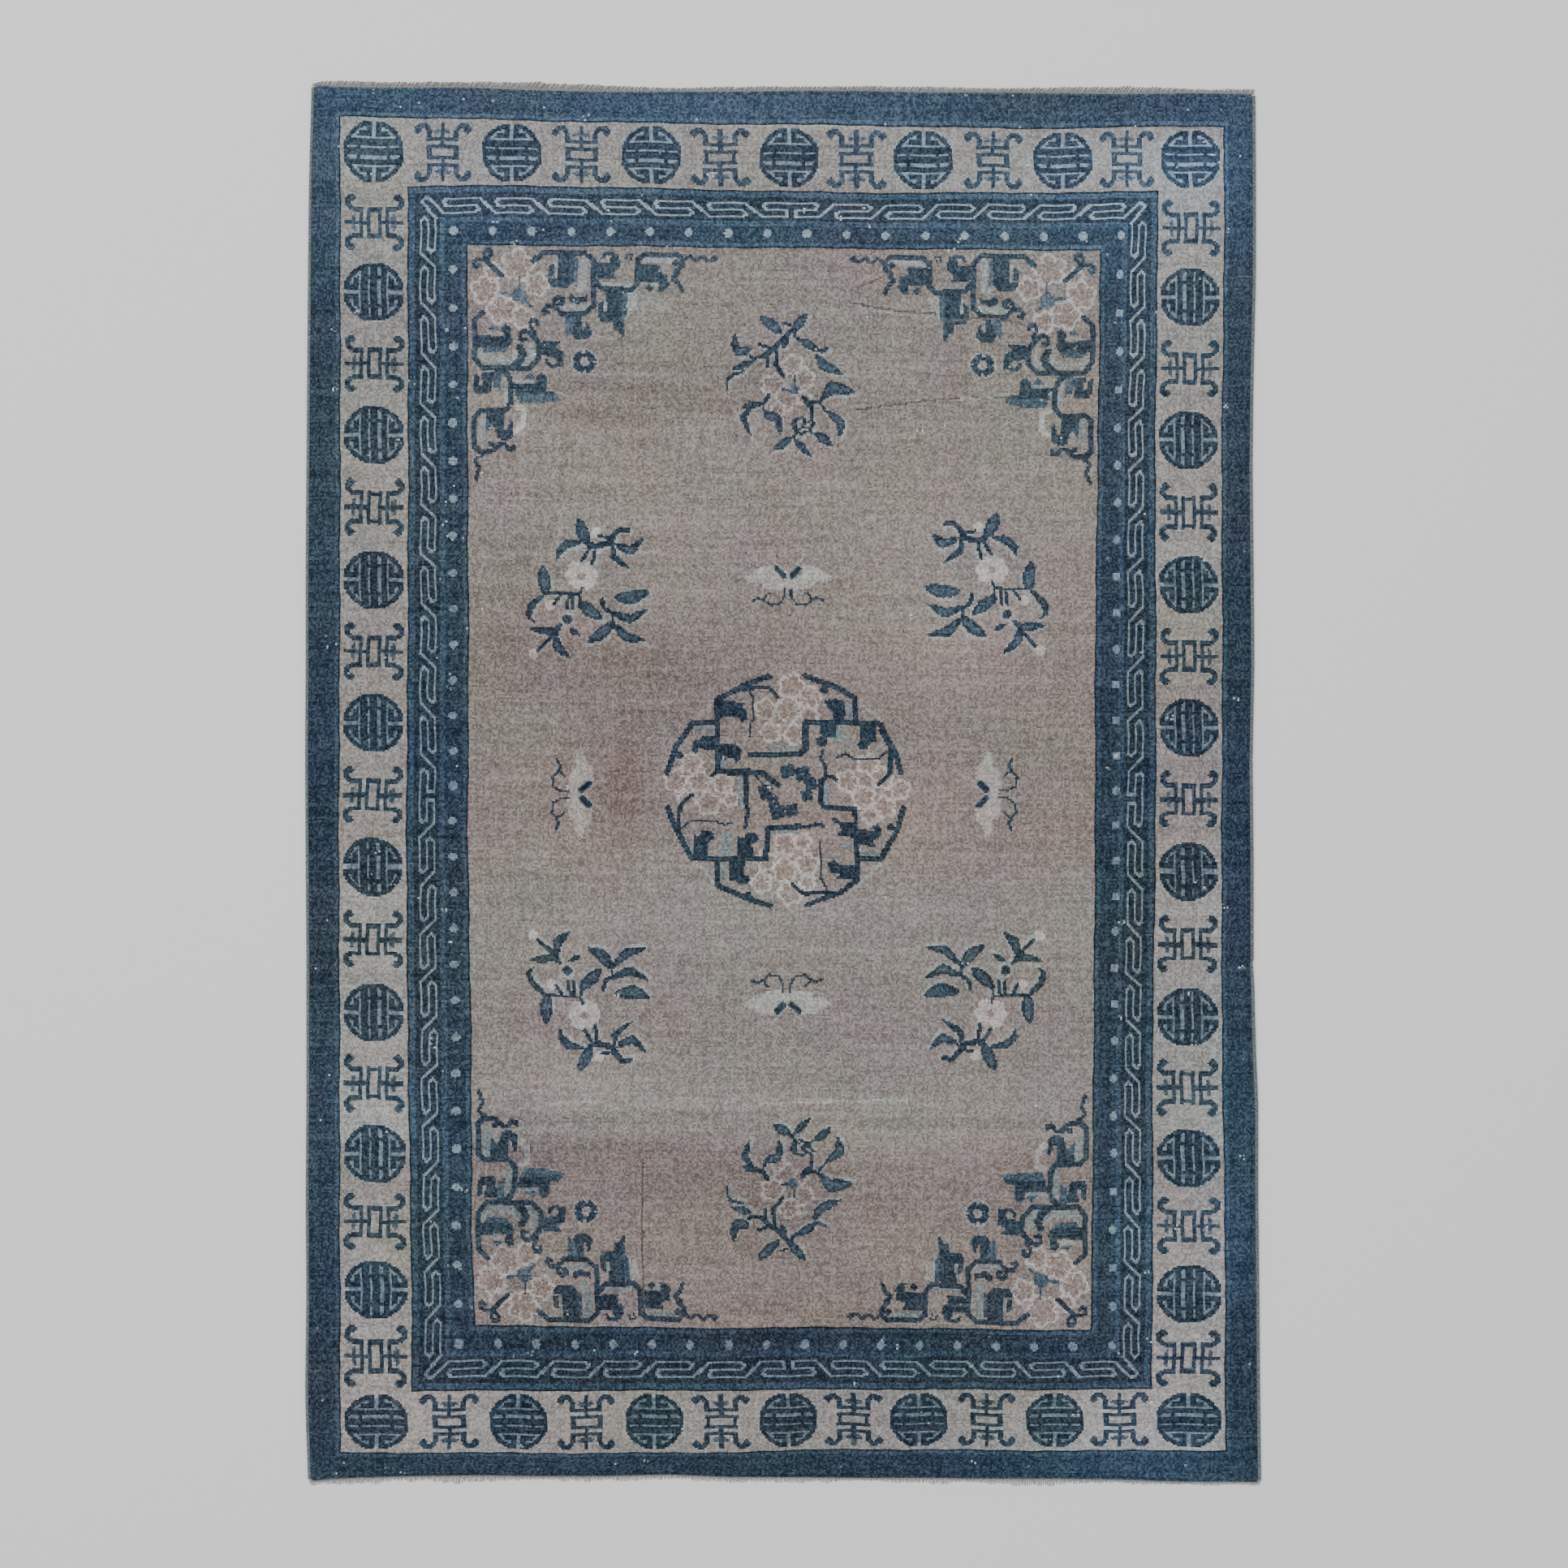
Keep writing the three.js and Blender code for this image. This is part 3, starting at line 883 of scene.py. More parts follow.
@dataclass
class Medallion:
    """The round fret in the field's middle, with four peonies and a small flower."""

    column: float = 261
    row: float = 392.3
    # Frets wider than this have a lighter core
    fine_fret: float = 3
    frets: ClassVar[tuple] = (
        (3.1, (-7.8, -64.6), (-21.8, -60), (-36.8, -51.4), (-36.8, -11.4), (-12, -11.2), (-3, -3.8)),
        (2.4, (-36.8, -11.4), (-39.4, -9)),
        (2.3, (-21.8, -57.6), (-8.5, -58.4), (-3, -53.3)),
        (3.1, (12, -64.6), (28.5, -59), (39.6, -52.6), (39.6, -39)),
        (3.1, (64.6, -11.4), (60.5, -24.1), (53.6, -37.6), (50.8, -39.2), (12, -39.2), (12, -24.1),
         (8.9, -21.2), (-19, -21.2)),
        (2.3, (53.6, -34.8), (58.4, -25.6), (58.4, -10.7), (52.2, -4.3)),
        (3.1, (-64.3, -9.9), (-59.4, -24.1), (-50.3, -38.8), (-36.8, -38.6)),
        (2.9, (-21, -11.2), (-20.4, 5.7)),
        (2.1, (-20.4, 5.7), (-19, 11.4), (-20.6, 20)),
        (3.1, (-63.3, 9.2), (-57.3, 24.1), (-49.7, 37.4), (-9.2, 37.4), (-8.5, 20.4), (9, 19.6)),
        (2.2, (9, 19.6), (13.6, 19.6), (17, 18.2), (22, 19.4)),
        (2.3, (-50.3, 1.4), (-56.3, 7.1), (-57.3, 21.3), (-55.2, 25.6)),
        (3.1, (-36.8, 37.6), (-36.8, 51.8), (-21.8, 58.9), (-7.8, 63.8)),
        (2.9, (23.6, -8.2), (20.4, -5.8), (20.4, 5.7), (22.9, 8.8), (39.9, 8.8), (40.3, 49.7),
         (29.8, 56.8), (12.4, 63.6)),
        (2.0, (28.6, -6.6), (26.6, -8.6), (23.6, -8.2)),
        (3.1, (66.1, 8.5), (61.9, 22.7), (52.9, 37.6), (40.3, 37.6)),
        (2.3, (4.7, 51.8), (11, 57.1), (28.5, 56.8)),
        (1.9, (21.5, -23.4), (20.1, -18.5), (22.9, -14.2), (23.6, -8.5)),
    )
    flowers: ClassVar[tuple] = (
        ((4.4, -59, 8), (14.8, -52.6, 7), (-9.6, -46, 7), (2.6, -46.4, 7.6), (14, -42, 6),
         (-7, -33.4, 6.6), (6.6, -32, 7)),
        ((-51, -16, 6.6), (-59, -6, 7.4), (-46, -5.6, 7), (-33, -5, 6.6), (-41, 6.4, 7.4), (-53, 4, 6),
         (-29, 4, 5)),
        ((46, -16, 6.6), (35.4, -6, 7), (54, -8, 7), (64, -2, 6.6), (44, 2.6, 7), (56, 8, 7),
         (48, 13, 5.6)),
        ((1.4, 29.6, 7.4), (11, 28, 5.6), (13, 40.4, 7), (0.6, 44, 8), (-9.6, 38.4, 6.6),
         (-12, 50.6, 6.6), (3, 57, 7.4), (13, 51, 5.4)),
    )
    # The small flower's leaves: place and size
    leaves: ClassVar[tuple] = (
        (2.3, -11.2, 1),
        (10.4, -10, 1),
        (14.8, -4.4, 0.9),
        (12.7, 2, 0.8),
        (-9.8, 0, 1),
        (-5.6, 5.4, 0.8),
        (-2.6, 11.6, 1),
        (5, 10.6, 0.9),
    )
    # The pale ring's four open stretches
    ring: ClassVar[tuple] = (
        (-50.7, -38.9, 13.6, -12),
        (41.2, -51.4, 12, 11.4),
        (-48.6, 39, 11, 12),
        (42.4, 51.4, 11, -12),
    )
    fine_lines: ClassVar[tuple] = (
        ((-18.3, -55.4), (-16.2, -52.6), (-16.9, -39.8), (-18.7, -37.6), (-18.3, -30.5)),
        ((56.3, -22.7), (52.2, -19.2), (37.5, -19.2), (34, -21.4), (28.5, -18.8)),
        ((-55.2, 19.9), (-51, 16.6), (-36.4, 16.3), (-32, 18), (-27.3, 16.8)),
        ((20.1, 27.7), (20.4, 48.3), (23.6, 54.7)),
        ((-16, -10), (-11, -4)),
    )
    pale_strips: ClassVar[tuple] = (
        (3.0, (-48, -35.4), (-38.6, -35)),
        (3.0, (-33.4, -19.6), (-33.2, -13.8)),
        (2.8, (36.2, -50), (36.2, -42)),
        (6.4, (30, -35.4), (30.4, -30)),
        (5.2, (-31, 24), (-31, 33.6)),
        (2.8, (-33.6, 40.4), (-33.4, 50)),
        (3.0, (43, 34), (51.6, 34.2)),
        (2.6, (-33.8, -51), (-24, -56.6)),
        (2.2, (-6, 22.8), (7, 22.6)),
        (2.6, (23.2, -3), (23.4, 5.6)),
        (2.6, (-6, -24), (8, -24.4)),
        (2.4, (-24, -9), (-23.6, 8)),
        (3.4, (32, 29), (37, 29)),
        (2.2, (-54, 27), (-48.6, 34)),
    )
    # Filled hooks: each outline
    hooks: ClassVar[tuple] = (
        ((-34.6, -51.2), (-21, -50.6), (-21.8, -48), (-19.4, -44.4), (-20.2, -40), (-23.8, -39.6),
         (-25.4, -42.6), (-34.6, -41.6)),
        ((-44.6, -31), (-35, -31), (-34.6, -22.6), (-43.4, -23.6), (-46, -25), (-48.6, -21),
         (-50.8, -23.4), (-49.6, -28.4), (-46.6, -29.6)),
        ((-34.6, -26.8), (-25.6, -26.8), (-23.2, -23.8), (-24.4, -18), (-26.8, -15.8), (-28, -19.4),
         (-34.6, -18.4)),
        ((26.8, -50), (28.4, -52.4), (33.8, -50.6), (33.4, -39.6), (27, -39.6), (26.6, -45.6),
         (23.6, -48), (23.4, -51), (26, -52.8)),
        ((20, -39.4), (28.8, -38.8), (28.6, -30.4), (24.2, -29.8), (23.6, -26), (20, -25),
         (17.6, -27.6), (18.2, -30.4), (20.6, -31)),
        ((42, -38), (51.4, -37.6), (51, -28.4), (47, -27.6), (45, -23.8), (41.4, -24), (40, -27),
         (42.4, -29.4)),
        ((-48.8, 23.4), (-46.6, 25), (-44.4, 21.6), (-40.4, 21.2), (-37.4, 23.6), (-38, 26.6),
         (-41.2, 27.4), (-41, 37), (-48.8, 37)),
        ((-25, 24.6), (-22, 26.4), (-19.6, 22.8), (-15.6, 22.6), (-13.2, 26), (-14, 28), (-16.6, 28.4),
         (-16.2, 37), (-25, 37)),
        ((-30, 37), (-21.4, 37), (-21.6, 46.4), (-18.6, 46.6), (-18.4, 50), (-20.6, 52.2),
         (-24.6, 51.4), (-27, 49.2), (-30, 49.8)),
        ((29.4, 17.6), (26.8, 16.8), (27, 14.2), (30.2, 14.8), (32, 17.2), (40.4, 16), (40, 25.4),
         (34, 25), (29.6, 24.2), (32, 21.2)),
        ((41, 20.6), (49.6, 21.6), (49, 18.6), (52.2, 17.8), (54, 21), (53.4, 25), (50, 27),
         (51.4, 30.6), (41, 29.6)),
        ((28, 45.6), (24.6, 44.8), (24.4, 40), (27.6, 37.8), (30.6, 40.4), (41, 40.8), (41, 48.8),
         (28.4, 49), (31.6, 46)),
    )

    def chart(self, chart: Chart) -> None:
        """Charts the medallion.

        Args:
            chart: The chart to draw on.
        """
        pen = Pen(chart, self.column, self.row)
        for flowers in self.flowers:
            pen.peony(*flowers)
        pen.strokes(Yarn.PALE, self.pale_strips)
        for u, v, across, along in self.ring:
            pen.line(1.9, Yarn.HAZE, (u, v), (u + across, v + along))
        for points in self.fine_lines:
            pen.line(1.2, Yarn.DARK, *points)
        for width, *points in self.frets:
            pen.line(width, Yarn.DARK, *points)
            if width > self.fine_fret:
                pen.line(1.1, Yarn.INDIGO, *points)
        for outline in self.hooks:
            pen.shape(Yarn.DARK, *outline)
        for u, v, size in self.leaves:
            reach = 2.5 * size
            for angle in (0.5, 2.1, 3.7, 5.3):
                pen.blob(2.2 * size, Yarn.INDIGO, (u + reach * math.cos(angle), v + reach * math.sin(angle)))
        pen.blob(2.2, Yarn.DARK, (22.4, -57), (-57.6, -20.4), (59, 19), (-19.6, 58))


@dataclass
class Butterflies:
    """Four worn butterflies that face the medallion."""

    places: ClassVar[tuple] = ((263.2, 273, 0), (149, 394.4, 1), (262.6, 510, 2), (374, 392.6, 3))

    def chart(self, chart: Chart) -> None:
        """Charts the four of them.

        Args:
            chart: The chart to draw on.
        """
        wing = ((24.4, -2), (20, -2.8), (15, -6.6), (9, -7.6), (3, -5))
        hem = ((3, 6.6), (8, 6.4), (14, 5), (15, 2), (18, 2.6), (23, 1.2))
        body = (*mirrored(wing, -1), (0, -3.4), *wing[::-1], *hem[::-1], (0, 5), *mirrored(hem, -1))
        curl = ((1.9, 5.8), (1.9, 9.8), (4.8, 14.6), (9.8, 15), (12.8, 12.4), (12, 9.4), (9.8, 8.4))
        for column, row, turns in self.places:
            pen = Pen(chart, column, row, turns)
            pen.shape(Yarn.CREAM, *body)
            for side in (-1, 1):
                pen.line(1.3, Yarn.HAZE, (side * 9, -15), (side * 8, -10.6), (side * 3, -5.6))
                pen.line(4.4, Yarn.PALE, (side * 5.8, -5), (side * 2.4, -1.6))
                pen.line(3, Yarn.DARK, (side * 6, -5.4), (side * 2.2, -1.6))
                pen.line(1.2, Yarn.INDIGO, *mirrored(curl, side))
                pen.line(1.6, Yarn.INDIGO, (side * 12.8, 12.4), (side * 16, 10.8), (side * 19.4, 12.4))


@dataclass
class WearAndCreaseShading:
    """What use has left on the rug: worn bright spots, dark flecks, stains and faded places, with painted
    shade along creases and painted highlight on the crests beside them.
    """

    seed: int = 5
    # Worn spots: how many are tried, their knots, their stretch and their share on pale wool
    spots: int = 500
    spot_sizes: ClassVar[tuple[int, ...]] = (1, 1, 1, 2, 4)
    spot_across: int = 4
    spot_along: int = 3
    pale_share: float = 0.12
    # Flecks: how many are tried, the column and row where they are thickest, and the last row with any
    flecks: int = 330
    fleck_column: int = 190
    fleck_row: int = 150
    fleck_last_row: int = 360
    crease_width: float = 1.1
    # Soft stains and faded places, and thin bands of painted shade and highlight along creases: column, row,
    # reach across and along, and change in red, green and blue
    stains_and_shading: ClassVar[tuple] = (
        (108, 281, 25, 60, (-0.07, -0.07, -0.07)),
        (184, 170, 46, 7, (-0.15, -0.17, -0.2)),
        (166, 184, 36, 4, (-0.12, -0.14, -0.16)),
        (190, 151, 48, 6, (-0.07, -0.08, -0.11)),
        (200, 345, 50, 25, (-0.06, -0.06, -0.05)),
        (116, 454, 30, 15, (-0.05, -0.05, -0.05)),
        (111, 626, 20, 50, (-0.08, -0.08, -0.07)),
        (356, 311, 60, 26, (0.12, 0.12, 0.12)),
        (320, 406, 60, 40, (0.05, 0.05, 0.05)),
        (156, 551, 60, 20, (0.08, 0.08, 0.08)),
        (117, 187.4, 5, 7, (0.12, 0.14, 0.15)),
        (187, 119, 10, 7, (0.03, 0.06, 0.08)),
        (36, 145, 40, 55, (-0.07, -0.06, -0.05)),
        (480, 50, 60, 55, (0.08, 0.11, 0.13)),
        (480, 665, 50, 60, (0.1, 0.11, 0.13)),
        (460, 745, 60, 30, (0.12, 0.13, 0.14)),
        (60, 745, 60, 30, (0.09, 0.08, 0.07)),
        (36, 560, 30, 50, (0.06, 0.06, 0.07)),
        (240, 40, 60, 25, (-0.05, -0.05, -0.06)),
        (174, 386, 10, 30, (-0.09, -0.16, -0.17)),
        (170, 318, 32, 3, (-0.07, -0.07, -0.09)),
        (340, 594, 56, 11, (0.12, 0.11, 0.12)),
        (179, 593, 45, 13, (-0.05, -0.08, -0.06)),
        (106, 593, 24, 13, (-0.09, -0.06, -0.06)),
        (34, 675, 15, 42, (0.11, 0.12, 0.12)),
        (34, 264, 15, 42, (-0.11, -0.1, -0.1)),
        (425, 38, 85, 13, (0.06, 0.07, 0.08)),
        (372, 560, 50, 8, (0.05, 0.05, 0.05)),
        (376, 573, 56, 3, (-0.1, -0.11, -0.11)),
        (180, 575, 70, 3, (-0.05, -0.06, -0.06)),
        (265, 566, 120, 4, (0.07, 0.07, 0.07)),
        (440, 777, 85, 20, (0.1, 0.14, 0.18)),
        (512, 560, 17, 150, (0.05, 0.09, 0.11)),
        (450, 8, 70, 16, (-0.06, -0.09, -0.1)),
        (270, 8, 60, 16, (0.08, 0.07, 0.05)),
        (262, 686, 60, 9, (-0.04, -0.06, -0.08)),
        (255, 250, 7, 70, (-0.02, -0.04, -0.05)),
        (125, 330, 40, 3, (-0.05, -0.05, -0.05)),
        (262, 620, 26, 32, (-0.12, -0.12, -0.12)),
        (264, 165, 22, 24, (-0.08, -0.08, -0.08)),
        (330, 640, 120, 14, (0.04, 0.03, 0.02)),
    )
    # Crease lines: knotted darker as painted shade, and sunk into the pile
    creases: ClassVar[tuple] = (
        ((299, 110), (312, 104), (320, 101)),
        ((298, 118), (320, 122), (343, 124)),
        ((300, 178), (320, 175), (343, 172), (385, 170)),
        ((350, 128), (372, 126), (395, 130)),
        ((182, 598), (183, 640), (182, 684)),
    )
    # The crests beside some of the creases, knotted paler as painted highlight
    painted_crest_highlights: ClassVar[tuple] = (
        ((300, 120), (320, 124), (344, 126)),
        ((352, 172.6), (368, 171), (386, 168.4)),
        ((248, 567), (300, 565.6), (330, 564)),
        ((128, 567.4), (160, 566)),
    )

    def chart(self, chart: Chart) -> None:
        """Charts the wear, and the painted shade and highlight of the creases.

        Args:
            chart: The chart to draw on.
        """
        # Painted shade along the creases, and painted highlight on the crests beside them
        for yarn, lines in ((Yarn.CREASE, self.creases), (Yarn.HAZE, self.painted_crest_highlights)):
            for points in lines:
                chart.line(points, self.crease_width, yarn)
        picks = random.Random(self.seed)
        for _ in range(self.spots):
            column = picks.randrange(COLUMNS - self.spot_across)
            row = picks.randrange(ROWS - self.spot_along)
            if chart.knots[row, column] in BLUES or picks.random() < self.pale_share:
                for _ in range(picks.choice(self.spot_sizes)):
                    down, over = picks.randrange(self.spot_along), picks.randrange(self.spot_across)
                    chart.knots[row + down, column + over] = picks.choice((Yarn.SPECK, Yarn.PALE))
        for _ in range(self.flecks):
            column = int(picks.triangular(FIELD_EDGE, COLUMNS - FIELD_EDGE, self.fleck_column))
            row = int(picks.triangular(FIELD_EDGE, self.fleck_last_row, self.fleck_row))
            if chart.knots[row, column] == Yarn.FIELD:
                chart.knots[row, column] = Yarn.CREASE


def edge_of(node: str, along: int, outward: int) -> tuple[np.ndarray, np.ndarray]:
    """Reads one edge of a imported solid.

    Args:
        node: The solid's name.
        along: 0 for an edge that runs across the rug, 1 for one that runs along it.
        outward: -1 or 1, the side of the solid that the edge is on.

    Returns:
        Places along the edge in order, and how far out the edge is at each.
    """
    reach, pitch = 0.03, 0.016
    points = vertices_of(bpy.data.objects[node].data)
    out = points[:, 1 - along] * outward
    near_edge = out > out.max() - reach
    points, out = points[near_edge], out[near_edge]
    steps = np.round(points[:, along] / pitch)
    outermost = [np.flatnonzero(steps == step)[out[steps == step].argmax()] for step in np.unique(steps)]
    outermost.sort(key=lambda index: points[index, along])
    return points[outermost, along], outward * out[outermost]


@dataclass
class Weave:
    """Where each charted knot lies, from the rug's own edges and its border lines in the photograph."""

    # Millimetres from the photograph's middle: the borders' six lines at places along the rug
    lines_along: ClassVar[tuple] = (
        (1014, -856, -727, -610, 610, 722, 849),
        (636, -856, -726, -610, 605, 717, 844),
        (260, -857, -727, -608, 600, 719, 846),
        (-116, -859, -730, -610, 600, 718, 844),
        (-492, -857, -727, -603, 597, 712, 845),
        (-868, -857, -721, -602, 594, 713, 851),
        (-1056, -856, -719, -596, 591, 711, 851),
    )
    # The same for the lines that run across, at places across the rug
    lines_across: ClassVar[tuple] = (
        (-809, 1288, 1155, 1040, -1045, -1172, -1290),
        (-495, 1280, 1156, 1039, -1045, -1172, -1291),
        (-182, 1274, 1149, 1036, -1050, -1172, -1291),
        (132, 1271, 1142, 1033, -1048, -1169, -1283),
        (445, 1264, 1142, 1030, -1053, -1170, -1286),
        (758, 1269, 1145, 1030, -1053, -1169, -1286),
    )
    # How far knots waver, and how many knots in from the rug's edge they do so in full
    waver: float = 0.0009
    waver_from: float = 8
    # The waves they follow sideways and lengthways: radians for each row and for each column, and start
    sideways: ClassVar[tuple] = ((0.31, 0.02, 0), (0.083, 0, 2))
    lengthways: ClassVar[tuple] = ((0.03, 0.27, 0), (0, 0.071, 1))

    def __post_init__(self) -> None:
        """Reads the pile's four edges."""
        self.left = edge_of("pile_carpet", 1, -1)
        self.right = edge_of("pile_carpet", 1, 1)
        self.far = edge_of("pile_carpet", 0, 1)
        self.near = edge_of("pile_carpet", 0, -1)

    def place(self, columns: np.ndarray, rows: np.ndarray) -> tuple[np.ndarray, np.ndarray]:
        """Finds where knots lie on the floor.

        Args:
            columns: Places across the chart.
            rows: Places along it.

        Returns:
            Their x and y.
        """
        insets = np.array([OUTER_BAND, SIGN_BORDER, FIELD_EDGE])
        column_marks = np.concatenate([[0], insets, COLUMNS - insets[::-1], [COLUMNS]])
        row_marks = np.concatenate([[0], insets, ROWS - insets[::-1], [ROWS]])
        plain_x = np.interp(columns, column_marks[[0, -1]], [self.left[1].mean(), self.right[1].mean()])
        plain_y = np.interp(rows, row_marks[[0, -1]], [self.far[1].mean(), self.near[1].mean()])
        along = np.array(self.lines_along, dtype=float)[::-1] * MM
        across = np.array(self.lines_across, dtype=float) * MM
        seen_x, seen_y = plain_x - PHOTO_MIDDLE.x, plain_y - PHOTO_MIDDLE.y
        lines = [np.interp(seen_y, along[:, 0], line) + PHOTO_MIDDLE.x for line in along[:, 1:].T]
        x_marks = [np.interp(plain_y, *self.left), *lines, np.interp(plain_y, *self.right)]
        lines = [np.interp(seen_x, across[:, 0], line) + PHOTO_MIDDLE.y for line in across[:, 1:].T]
        y_marks = [np.interp(plain_x, *self.far), *lines, np.interp(plain_x, *self.near)]
        x = self.between(columns, column_marks, np.array(x_marks))
        y = self.between(rows, row_marks, np.array(y_marks))
        waver = np.clip(inward(columns, rows) / self.waver_from, 0, 1) * self.waver
        for places, waves in ((x, self.sideways), (y, self.lengthways)):
            for down, over, start in waves:
                places += waver * np.sin(rows * down + columns * over + start)
        return x, y

    def between(self, places: np.ndarray, marks: np.ndarray, lines: np.ndarray) -> np.ndarray:
        """Reads between the borders' lines.

        Args:
            places: Where each knot is on the chart.
            marks: Where the lines are on the chart.
            lines: Where each line is on the floor, one row a line and one column a knot.

        Returns:
            Where each knot is on the floor.
        """
        lower = np.clip(np.searchsorted(marks, places, side="right") - 1, 0, len(marks) - 2)
        share = (places - marks[lower]) / (marks[lower + 1] - marks[lower])
        knots = np.arange(len(places))
        return lines[lower, knots] * (1 - share) + lines[lower + 1, knots] * share


def linear(colour: Colour) -> Colour:
    """Turns a display colour of 255 into the linear one that a shader takes.

    Args:
        colour: Display red, green and blue.

    Returns:
        Linear red, green and blue.
    """
    return tuple(((c / 255 + 0.055) / 1.055) ** 2.4 for c in colour)


class Bench:
    """A material on which nodes are laid out and joined in one call each."""

    def __init__(self, name: str, roughness: float, sheen: float = 0.0) -> None:
        """Starts a plain matt material.

        Args:
            name: The material's name.
            roughness: How matt it is.
            sheen: How much its fibres shine at a slant.
        """
        self.material = bpy.data.materials.new(name)
        self.material.use_nodes = True
        self.tree = self.material.node_tree
        self.surface = self.tree.nodes["Principled BSDF"]
        self.surface.inputs["Roughness"].default_value = roughness
        self.surface.inputs["Specular IOR Level"].default_value = 0.15
        self.surface.inputs["Sheen Weight"].default_value = sheen

    def put(self, kind: str, *feeds: object, take: int | str = 0, **settings: object) -> Socket:
        """Adds a node.

        Args:
            kind: The node's type, without the word ShaderNode.
            feeds: What goes into its inputs in order: a socket, a value, or None to leave one alone.
            take: Which output is wanted.
            settings: The node's own settings.

        Returns:
            The wanted output.
        """
        node = self.tree.nodes.new("ShaderNode" + kind)
        for key, value in settings.items():
            setattr(node, key, value)
        for socket, feed in zip(node.inputs, feeds):
            if isinstance(feed, Socket):
                self.tree.links.new(feed, socket)
            elif feed is not None:
                socket.default_value = feed
        return node.outputs[take]

    def math(self, operation: str, first: object, second: object = None) -> Socket:
        """Adds a sum.

        Args:
            operation: What is worked out.
            first: The first socket or number.
            second: The second one, where there is one.

        Returns:
            The result.
        """
        return self.put("Math", first, second, operation=operation)

    def vector(self, operation: str, first: object, second: object = None) -> Socket:
        """Adds a sum of colours or vectors.

        Args:
            operation: What is worked out.
            first: The first one.
            second: The second one, where there is one.

        Returns:
            The result.
        """
        return self.put("VectorMath", first, second, operation=operation)

    def ramp(self, value: Socket, stops: Sequence[tuple[float, Colour]]) -> Socket:
        """Adds a colour ramp.

        Args:
            value: What is looked up, from 0 to 1.
            stops: Places on the ramp and their colours.

        Returns:
            The colour.
        """
        colour = self.put("ValToRGB", value)
        ramp = colour.node.color_ramp
        while len(ramp.elements) < len(stops):
            ramp.elements.new(0.5)
        for element, (position, (red, green, blue)) in zip(ramp.elements, stops):
            element.position = position
            element.color = (red, green, blue, 1)
        return colour

    def finish(
        self, colour: object, height: object = None, depth: float = 0.001, strength: float = 0.5
    ) -> bpy.types.Material:
        """Joins the colour and relief to the surface.

        Args:
            colour: The socket or linear colour of the surface.
            height: The relief's height from 0 to 1, where it has one.
            depth: How deep the relief is.
            strength: How clearly it shows.

        Returns:
            The material.
        """
        if isinstance(colour, Socket):
            self.tree.links.new(colour, self.surface.inputs["Base Color"])
        else:
            self.surface.inputs["Base Color"].default_value = (*colour, 1)
        if height is not None:
            bump = self.put("Bump", strength, depth)
            self.tree.links.new(height, bump.node.inputs["Height"])
            self.tree.links.new(bump, self.surface.inputs["Normal"])
        return self.material


